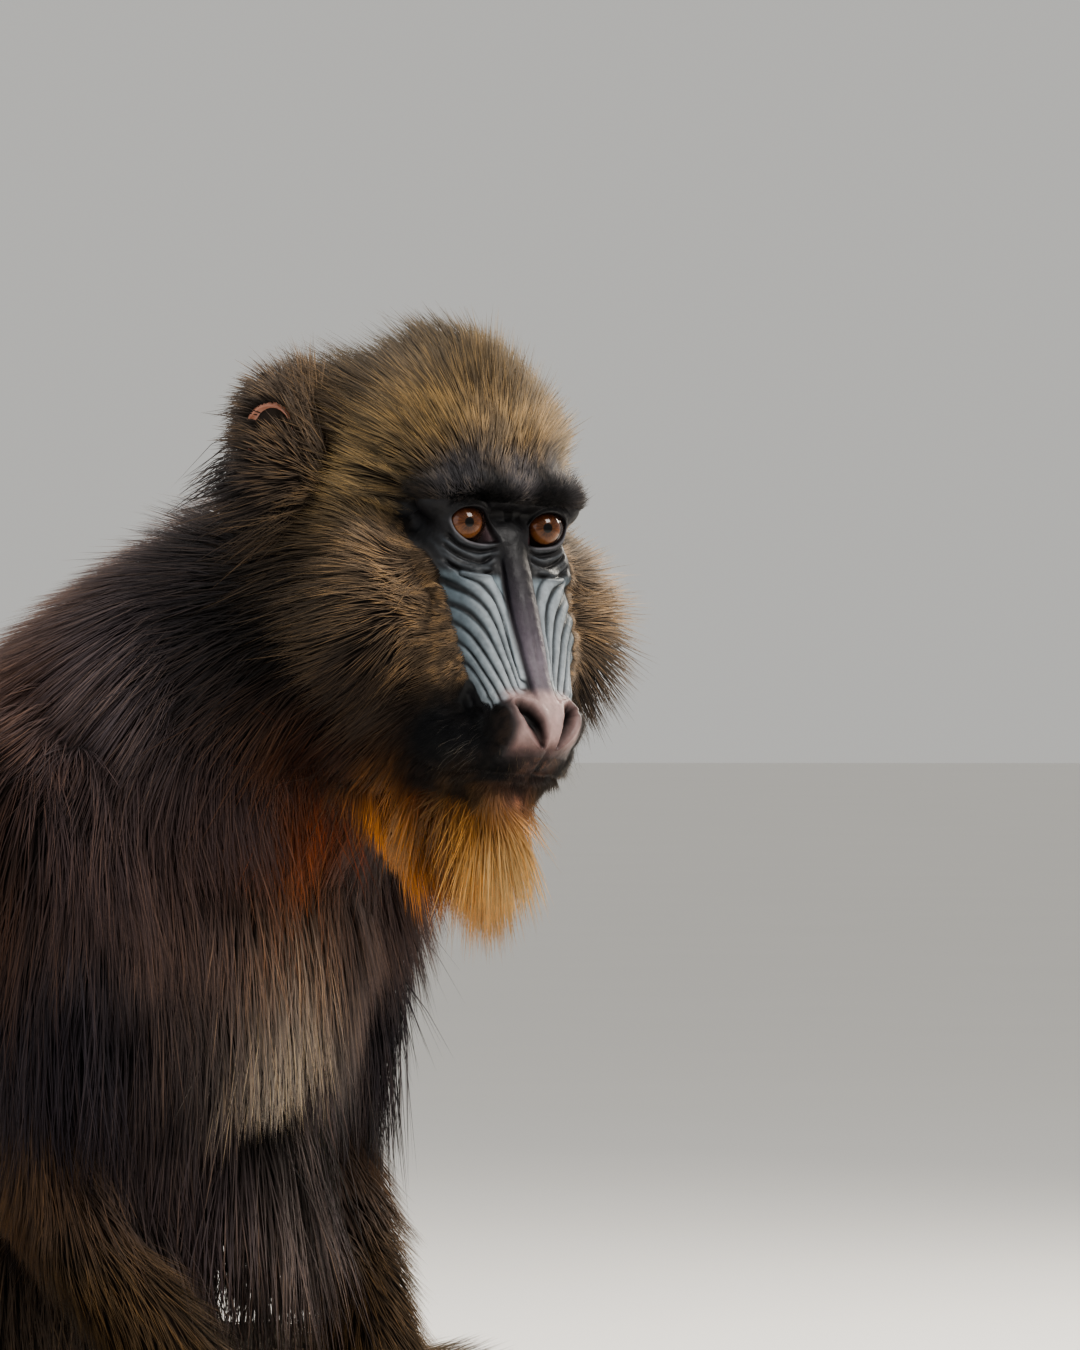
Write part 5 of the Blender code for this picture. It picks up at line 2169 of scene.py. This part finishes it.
    def comb(self, picked: dict, rng: np.random.Generator) -> dict:
        """Directions, lengths and colours for the roots.

        Args:
            picked: What sample() gave.
            rng: The seeded source of chance.

        Returns:
            The same with the tufts' values added.
        """
        root, normal, region = picked["root"], picked["normal"], picked["region"]
        values = self.lie.at(root)
        grown = self.grown(root, region)
        count = len(root)
        furry_head, beard = region < Stretch.BEARD, region == Stretch.BEARD
        clump = lattice_noise(root, 0.0085, 51)
        drift = np.column_stack([lattice_noise(root, 0.011, 52 + i) - 0.5 for i in range(3)])
        stray = rng.normal(0.0, 1.0, (count, 3))
        wander = np.where(furry_head, 0.7, 0.42)[:, None]
        flow = unit(values["flow"] + drift * wander + stray * 0.10)
        along = flow - normal * (flow * normal).sum(axis=1, keepdims=True)
        weak = np.linalg.norm(along, axis=1) < 0.25
        tangent = unit(np.where(weak[:, None], along + stray * 0.2, along))
        lift = values["lift"] * (0.82 + 0.36 * clump) * rng.uniform(0.85, 1.15, count)
        lift = np.where(rng.random(count) < 0.03, lift * 1.5, lift)
        start = np.radians(np.minimum(lift * 1.45, 80.0))[:, None]
        end = np.radians(lift * 0.55)[:, None]
        first = tangent * np.cos(start) + normal * np.sin(start)
        second = tangent * np.cos(end) + normal * np.sin(end)
        first = unit(mix(first, flow, values["hang"] * 0.7))
        second = unit(mix(second, flow + np.array([0.0, 0.0, -0.25]), values["hang"]))
        way = (first + second) / 2
        depth = values["depth"] * grown
        length = depth / np.sin(np.radians(values["lift"])) * MM
        length = length * rng.uniform(0.85, 1.25, count) * (0.95 + 0.25 * clump)
        length = np.maximum(length, self.shortest)
        width = values["width"] * (0.55 + 0.45 * grown) * MM * rng.uniform(0.75, 1.25, count)
        wisp = (rng.random(count) < self.wisp_share) & furry_head & (grown > 0.9)
        length = np.where(wisp, length * 1.35, length)
        length = self.clear_ears(root, way, length)
        loose = np.where(wisp, 0.007, 0.0015 * furry_head + 0.007 * beard)
        length = self.trimmed(root, way, length, clump, loose)
        picked.update(
            first=first,
            second=second,
            length=length,
            width=width,
            depth=depth,
            tone=self.speckle(root, region, rng.random(count), clump),
            root_tone=values["root"],
            tip_tone=values["tip"],
        )
        return picked

    def trimmed(self, root: Array, way: Array, length: Array, clump: Array, loose: Array) -> Array:
        """Shortens tufts that stand out of the outline or would reach the floor.

        Args:
            root: Rows of places in metres.
            way: The mean direction of each tuft.
            length: The tufts' lengths in metres.
            clump: The slow drift of the coat, from 0 to 1.
            loose: How much further than its neighbours each may stand out, in metres.

        Returns:
            The lengths.
        """
        belly = smooth(root[:, 2], 0.235, 0.205) * smooth(np.abs(root[:, 0]), 0.06, 0.04)
        belly = belly * smooth(root[:, 1], 0.03, 0.0)
        allowed = (self.reach + self.fringe * belly) * (0.5 + clump) + loose
        tip = root + way * length[:, None]
        out = self.outline.beyond(tip)
        for _ in range(self.trims):
            tall = np.flatnonzero((out > allowed) | (tip[:, 2] < self.clearance))
            if not len(tall):
                break
            length[tall] *= self.trim_share
            tip[tall] = root[tall] + way[tall] * length[tall, None]
            out[tall] = self.outline.beyond(tip[tall])
        drop = -(way * length[:, None])[:, 2]
        room = np.maximum(root[:, 2] - 0.0012, 0.0)
        return np.where(drop > room, length * room / np.maximum(drop, 1e-6), length)

    @staticmethod
    def speckle(root: Array, region: Array, chance: Array, clump: Array) -> Array:
        """How light each tuft's band is, alike for neighbours so that the coat looks ticked.

        Args:
            root: Rows of places in metres.
            region: The piece that each belongs to.
            chance: A random value from 0 to 1 for each.
            clump: The slow drift of the coat, from 0 to 1.

        Returns:
            Values from 0 to 1.
        """
        spots = smooth(lattice_noise(root, 0.0021, 57), 0.36, 0.66)
        ticked = 0.38 * chance + 0.52 * spots + 0.10 * clump
        plain = 0.50 * chance + 0.22 * spots + 0.28 * clump
        return np.clip(np.where(region < Stretch.BEARD, ticked, plain), 0.0, 1.0)

    def clear_ears(self, root: Array, way: Array, length: Array) -> Array:
        """Shortens the tufts that would cover an ear.

        Args:
            root: Rows of places in metres.
            way: The mean direction of each tuft.
            length: The tufts' lengths in metres.

        Returns:
            The lengths, 0 for a tuft that is left out.
        """
        kept = length.copy()
        for side in Side:
            middle = np.array(self.ear_place) * np.array([side.value, 1.0, 1.0])
            for share in (0.0, 0.35, 0.7, 1.0):
                gap = self.head.local(root + way * (length * share)[:, None]) - middle
                local = gap / np.array(self.ear_room)
                inside = np.linalg.norm(local, axis=1) < 1.0
                kept = np.where(inside, 0.0 if share == 0.0 else np.minimum(kept, length * share * 0.6), kept)
        return kept

    def unwrap(self, chosen: Array) -> Array:
        """A flat map of part of the skin.

        Args:
            chosen: Numbers of the skin's faces.

        Returns:
            The map's coordinates for each corner of each chosen face.
        """
        used, index = np.unique(self.skin.faces[chosen], return_inverse=True)
        proxy = Mesh.create("patch", self.skin.places[used], index.reshape(-1, 3))
        bpy.ops.object.select_all(action="DESELECT")
        proxy.select_set(True)
        bpy.context.view_layer.objects.active = proxy
        proxy.data.uv_layers.new(name=BAKE_MAP)
        bpy.ops.object.mode_set(mode="EDIT")
        bpy.ops.mesh.select_all(action="SELECT")
        bpy.ops.uv.smart_project(angle_limit=math.radians(66.0), island_margin=0.004)
        bpy.ops.object.mode_set(mode="OBJECT")
        flat = np.empty(len(proxy.data.loops) * 2)
        proxy.data.uv_layers[0].uv.foreach_get("vector", flat)
        bpy.data.objects.remove(proxy, do_unlink=True)
        return flat.reshape(-1, 3, 2)

    def build(self) -> list[bpy.types.Object]:
        """Grows every piece of the coat.

        Returns:
            The pieces.
        """
        rng = np.random.default_rng(self.seed)
        picked = self.comb(self.sample(rng), rng)
        finish = HairFinish("coat_hair").make()
        beard_finish = HairFinish("beard_hair", 0.3, 0.2, (1.0, 0.85, 0.6)).make()
        made = []
        columns = ("root", "normal", "first", "second", "length", "width", "root_tone", "tip_tone", "tone")
        for number, piece in enumerate(self.pieces()):
            mine = np.flatnonzero((picked["region"] == number) & (picked["length"] > 0.001))
            if not len(mine):
                continue
            chosen, place = np.unique(picked["face"][mine], return_inverse=True)
            flat = self.unwrap(chosen)
            patches = (flat[place] * picked["shares"][mine][..., None]).sum(axis=1)
            short = self.is_short(picked["depth"][mine])
            for suffix, kind, wanted in (("", piece.kind, ~short), ("_fuzz", TuftKind.SHORT, short)):
                rows = mine[wanted]
                if len(rows) < self.least_tufts:
                    continue
                tufts = Tufts(*(picked[column][rows] for column in columns), patches[wanted])
                ob = tufts.build(piece.name + suffix, kind)
                ob.data.materials.append(beard_finish if piece.slot == "beard" else finish)
                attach(ob, ROOT_BODY)
                if piece.replaced and not suffix:
                    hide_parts(*piece.replaced)
                made.append(ob)
                LOG.info("%s: %d tufts, %d triangles", ob.name, len(rows), len(ob.data.polygons))
        return made


@dataclass
class Whiskers:
    """Long fine hairs on muzzle, lips and brow.

    Attributes:
        head: The head's frame.
        skin: The finished skin.
        seed: Starts the chance.
        kinds: For each kind how many grow on a side, the zone in the head's frame, their way, their least
            and greatest length and their width in millimetres, and their colour.
    """

    head: HeadFrame
    skin: Skin
    seed: int = 7
    kinds: tuple = (
        (44, ((11, 29), (-12, 20), (-98, -71)), (0.85, -0.3, -0.5), (6.0, 13.0), 0.07, "6f6962"),
        (34, ((0, 17), (15, 36), (-98, -86)), (0.45, 0.35, -0.8), (3.0, 6.0), 0.08, "7a6a56"),
        (26, ((0, 20), (5, 20), (-113, -104)), (0.2, 0.3, -1.0), (4.0, 8.0), 0.10, "7a5c3c"),
        (40, ((4, 34), (-4, 14), (9, 19)), (0.2, 0.7, 0.55), (6.0, 11.0), 0.14, "2a2626"),
    )

    def build(self) -> bpy.types.Object:
        """Makes and dresses the whiskers.

        Returns:
            The whiskers' object.
        """
        rng = np.random.default_rng(self.seed)
        local = self.head.local(self.skin.places)
        rows: dict = {name: [] for name in ("root", "normal", "way", "length", "width", "tone")}
        for count, zone, way, (short, long), width, tone in self.kinds:
            least, most = np.array(zone, float).T
            for side in Side:
                flip = np.array([side.value, 1.0, 1.0])
                inside = np.all((local * flip > least) & (local * flip < most), axis=1)
                chosen = rng.choice(np.flatnonzero(inside), count, replace=False)
                flow = np.array(way) * flip + rng.normal(0.0, 0.22, (count, 3))
                rows["root"].append(self.skin.places[chosen])
                rows["normal"].append(self.skin.normals[chosen])
                rows["way"].append(self.head.direction(unit(flow)))
                rows["length"].append(rng.uniform(short, long, count) * MM)
                rows["width"].append(np.full(count, width * MM))
                rows["tone"].append(np.tile(colour(tone), (count, 1)))
        root, normal, way, length, width, tone = (np.concatenate(found) for found in rows.values())
        first = unit(way + normal * 0.9)
        second = unit(way + self.head.direction([[0.0, 0.0, -0.6]]))
        side, front, up = self.head.local(root).T
        turn = np.arctan2(side, front + 40.0) / math.pi + 0.5
        patches = np.column_stack([np.clip(turn, 0.02, 0.98), np.clip((up + 125.0) / 160.0, 0.02, 0.98)])
        chance = rng.random(len(root))
        tufts = Tufts(root, normal, first, second, length, width, tone * 0.7, tone, chance, patches)
        made = tufts.build("whiskers", TuftKind.LOCK)
        made.data.materials.append(bpy.data.materials["coat_hair"])
        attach(made, ROOT_BODY)
        LOG.info("whiskers: %d hairs", len(root))
        return made


@dataclass(frozen=True)
class Limb:
    """Where a hand's or foot's digits end.

    Attributes:
        name: Hand or foot.
        joint: The wrist or ankle of the left side, in metres.
        splay: Degrees by which it turns outward.
        tips: For each digit how far it lies across and forward, in metres.
        thumb: The same for the first digit.
        thumb_turn: Degrees by which the first digit points inward.
    """

    name: str
    joint: tuple[float, float]
    splay: float
    tips: tuple
    thumb: tuple[float, float]
    thumb_turn: float

    def nail_frames(self, side: Side, skin: BVHTree, nails: Nails) -> list[tuple[Array, Array]]:
        """Where the nails lie.

        Args:
            side: Which hand or foot.
            skin: The skin's surface.
            nails: The nails' sizes.

        Returns:
            For each nail its middle and rows of its right, ahead and top directions.
        """
        found = []
        turn = math.radians(self.splay)
        for across, forward, inward in [(*tip, 0.0) for tip in self.tips] + [(*self.thumb, self.thumb_turn)]:
            x = self.joint[0] + across * math.cos(turn) + forward * math.sin(turn)
            y = self.joint[1] + across * math.sin(turn) - forward * math.cos(turn)
            way = turn - math.radians(inward)
            ahead = Vector((math.sin(way) * side.value, -math.cos(way), -0.28)).normalized()
            hit = skin.ray_cast(Vector((x * side.value, y, 0.05)) - ahead * 0.005, -UP, 0.06)[0]
            level = hit.z if hit is not None else nails.height
            middle = Vector((x * side.value, y, max(level - 0.0002, nails.lowest))) - ahead * nails.back
            right = ahead.cross(UP).normalized()
            found.append((np.array(middle), np.array([right, ahead, right.cross(ahead)])))
        return found


@dataclass(frozen=True)
class HornFinish:
    """Dark horn with fine lines.

    Attributes:
        name: The material's name.
        dark: Display colour of the horn.
        light: Display colour of its lines.
    """

    name: str
    dark: str = "0d0a0a"
    light: str = "2d2523"

    def make(self) -> bpy.types.Material:
        """The finish as a material.

        Returns:
            The new material.
        """
        made, sheet = Sheet.material(self.name)
        place = sheet.add("TexCoord").outputs["Object"]
        cloud = sheet.add("TexNoise", {"Vector": place, "Scale": 700.0, "Detail": 3.0}).outputs[0]
        shade = sheet.blend(cloud, (*colour(self.dark), 1.0), (*colour(self.light), 1.0))
        bump = sheet.add("Bump", {"Height": cloud, "Strength": 0.3, "Distance": 0.0002})
        rough = sheet.ramp(cloud, 0.3, 0.7, 0.28, 0.45)
        sheet.surface({"Base Color": shade, "Roughness": rough, "Normal": bump.outputs[0]})
        return made


@dataclass
class Nails:
    """The nails of hands and feet.

    Attributes:
        sizes: Half sizes of a nail across, along and up, in metres.
        height: How high a nail's middle lies over the floor where no skin is found under it.
        lowest: The least height of a nail's middle, in metres.
        back: How far a nail's middle lies behind the digit's end, in metres.
        crown: How far a nail's long edges curve down, in metres.
        limbs: The hands and feet.
    """

    sizes: tuple[float, float, float] = (0.0036, 0.0062, 0.0021)
    height: float = 0.0098
    lowest: float = 0.0035
    back: float = 0.004
    crown: float = 0.0016
    limbs: tuple[Limb, ...] = (
        Limb(
            "hand",
            (0.041, -0.082),
            12.0,
            ((-0.0193, 0.0965), (-0.0066, 0.1085), (0.0065, 0.1055), (0.0194, 0.0925)),
            (-0.0262, 0.0500),
            25.0,
        ),
        Limb(
            "foot",
            (0.118, -0.112),
            9.0,
            ((-0.0166, 0.1205), (-0.0050, 0.1315), (0.0067, 0.1265), (0.0177, 0.1125)),
            (-0.0325, 0.0775),
            15.0,
        ),
    )

    def build(self, skin: Skin) -> list[bpy.types.Object]:
        """Makes one piece for each hand and foot.

        Args:
            skin: The finished skin, on which the nails lie.

        Returns:
            The pieces.
        """
        finish = HornFinish("dark_horn").make()
        tree = BVHTree.FromPolygons(skin.places.tolist(), skin.faces.tolist())
        ball, triangles = unit_ball(3)
        made = []
        for limb in self.limbs:
            for side in Side:
                parts = []
                for middle, frame in limb.nail_frames(side, tree, self):
                    nail = ball * np.array(self.sizes)
                    nail[:, 2] -= self.crown * (ball[:, 0] ** 2)
                    parts.append((nail @ frame + middle, triangles))
                ob = Mesh.create(f"nails_{limb.name}_{side.label()}", *stacked(parts))
                ob.data.materials.append(finish)
                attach(ob, ROOT_BODY)
                LOG.info("%s: %d triangles", ob.name, len(ob.data.polygons))
                made.append(ob)
        return made


@dataclass(frozen=True)
class Studio:
    """Floor, lights, air and the camera at the photograph's angle.

    Attributes:
        azimuth: The camera's bearing round the animal, in degrees.
        distance: From the camera to its target, in metres.
        lens: Focal length in millimetres on a 36 mm sensor.
        right_shift: How far the target lies to the right of the eyes' middle, in metres.
        drop: How far it lies below the eyes, in metres.
        aim: What the lights shine on.
        lights: For each light its name, how far it stands towards the camera, to the right and up from aim,
            its side in metres, its power in watts and its colour.
        air: The air's colour.
        air_strength: How strongly it lights.
    """

    azimuth: float = -48.0
    distance: float = 3.0
    lens: float = 205.0
    right_shift: float = 0.012
    drop: float = 0.0585
    aim: tuple[float, float, float] = (0.0, -0.06, 0.36)
    lights: tuple = (
        ("key", (1.1, 1.25, 1.5), 0.9, 46.0, (1.0, 0.97, 0.93)),
        ("fill", (1.4, -1.5, 0.5), 1.6, 12.0, (0.9, 0.95, 1.0)),
        ("rim", (-1.3, 1.2, 0.9), 0.8, 34.0, (1.0, 0.93, 0.82)),
        ("top", (-0.6, -0.6, 1.8), 1.2, 18.0, (1.0, 0.98, 0.95)),
    )
    air: tuple[float, float, float, float] = (0.80, 0.79, 0.76, 1.0)
    air_strength: float = 0.60

    def bearings(self) -> tuple[Vector, Vector]:
        """The level directions from the animal to the camera, and to the camera's right."""
        turn = math.radians(self.azimuth)
        return Vector((math.sin(turn), -math.cos(turn), 0.0)), Vector((math.cos(turn), math.sin(turn), 0.0))

    def camera(self, head: HeadFrame) -> bpy.types.Object:
        """The camera level with the animal, turned as in the photograph.

        Args:
            head: The head's frame, which the framing is measured from.

        Returns:
            The camera.
        """
        back, right = self.bearings()
        target = Vector(head.origin) + right * self.right_shift - UP * self.drop
        data = bpy.data.cameras.new("camera")
        data.lens = self.lens
        data.sensor_width = 36.0
        data.clip_end = 100.0
        made = bpy.data.objects.new("camera", data)
        made.location = target + back * self.distance
        made.rotation_euler = (-back).to_track_quat("-Z", "Y").to_euler()
        bpy.context.scene.collection.objects.link(made)
        bpy.context.scene.camera = made
        return made

    def light(self, name: str, place: Vector, aim: Vector, size: float, power: float, tint: tuple) -> None:
        """One soft square light.

        Args:
            name: The light's name.
            place: Where it stands.
            aim: What it shines on.
            size: Its side in metres.
            power: Its power in watts.
            tint: Its colour.
        """
        data = bpy.data.lights.new(name, "AREA")
        data.shape = "SQUARE"
        data.size = size
        data.energy = power
        data.color = tint
        made = bpy.data.objects.new(name, data)
        made.location = place
        made.rotation_euler = (aim - place).to_track_quat("-Z", "Y").to_euler()
        bpy.context.scene.collection.objects.link(made)

    def build(self, head: HeadFrame) -> None:
        """Makes the whole studio.

        Args:
            head: The head's frame.
        """
        self.camera(head)
        back, right = self.bearings()
        aim = Vector(self.aim)
        for name, (near, across, above), size, power, tint in self.lights:
            self.light(name, aim + back * near + right * across + UP * above, aim, size, power, tint)
        world = bpy.data.worlds.new("air")
        world.use_nodes = True
        shade = world.node_tree.nodes["Background"]
        shade.inputs["Color"].default_value = self.air
        shade.inputs["Strength"].default_value = self.air_strength
        bpy.context.scene.world = world
        bpy.context.scene.view_settings.look = "AgX - Medium High Contrast"
        self.floor()

    def floor(self) -> None:
        """A wide pale disc with a faint grain."""
        bm = bmesh.new()
        bmesh.ops.create_circle(bm, cap_ends=True, segments=96, radius=30.0)
        mesh = bpy.data.meshes.new("floor")
        bm.to_mesh(mesh)
        bm.free()
        made = bpy.data.objects.new("floor", mesh)
        bpy.context.scene.collection.objects.link(made)
        finish, sheet = Sheet.material("pale_floor")
        place = sheet.add("TexCoord").outputs["Object"]
        cloud = sheet.add("TexNoise", {"Vector": place, "Scale": 3.0, "Detail": 3.0}).outputs[0]
        shade = sheet.blend(cloud, (0.84, 0.82, 0.79, 1.0), (0.87, 0.85, 0.82, 1.0))
        sheet.surface({"Base Color": shade}, Roughness=0.7)
        mesh.materials.append(finish)


def main() -> None:
    """Builds the studio and every piece of the animal."""
    logging.basicConfig(level=logging.INFO, format="%(message)s")
    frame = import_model()
    head = HeadFrame.between_eyes()
    eyes = EyeSizes()
    form = FaceForm(eyes)
    relief = FaceRelief(form, eyes)
    relief.prepare()
    coat_map = CoatMap(head, relief)
    coat_map.prepare()
    Studio().build(head)
    skin = Skin(head, form, relief, coat_map)
    skin.build(frame)
    for side in Side:
        Eye(head, eyes, side).build()
        Ear(head, side).build()
    outline = Outline.of(frame, ("eye_left", "eye_right"))
    Coat(head, skin, coat_map, relief, outline).build()
    Whiskers(head, skin).build()
    Nails().build(skin)


if __name__ == "__main__":
    main()
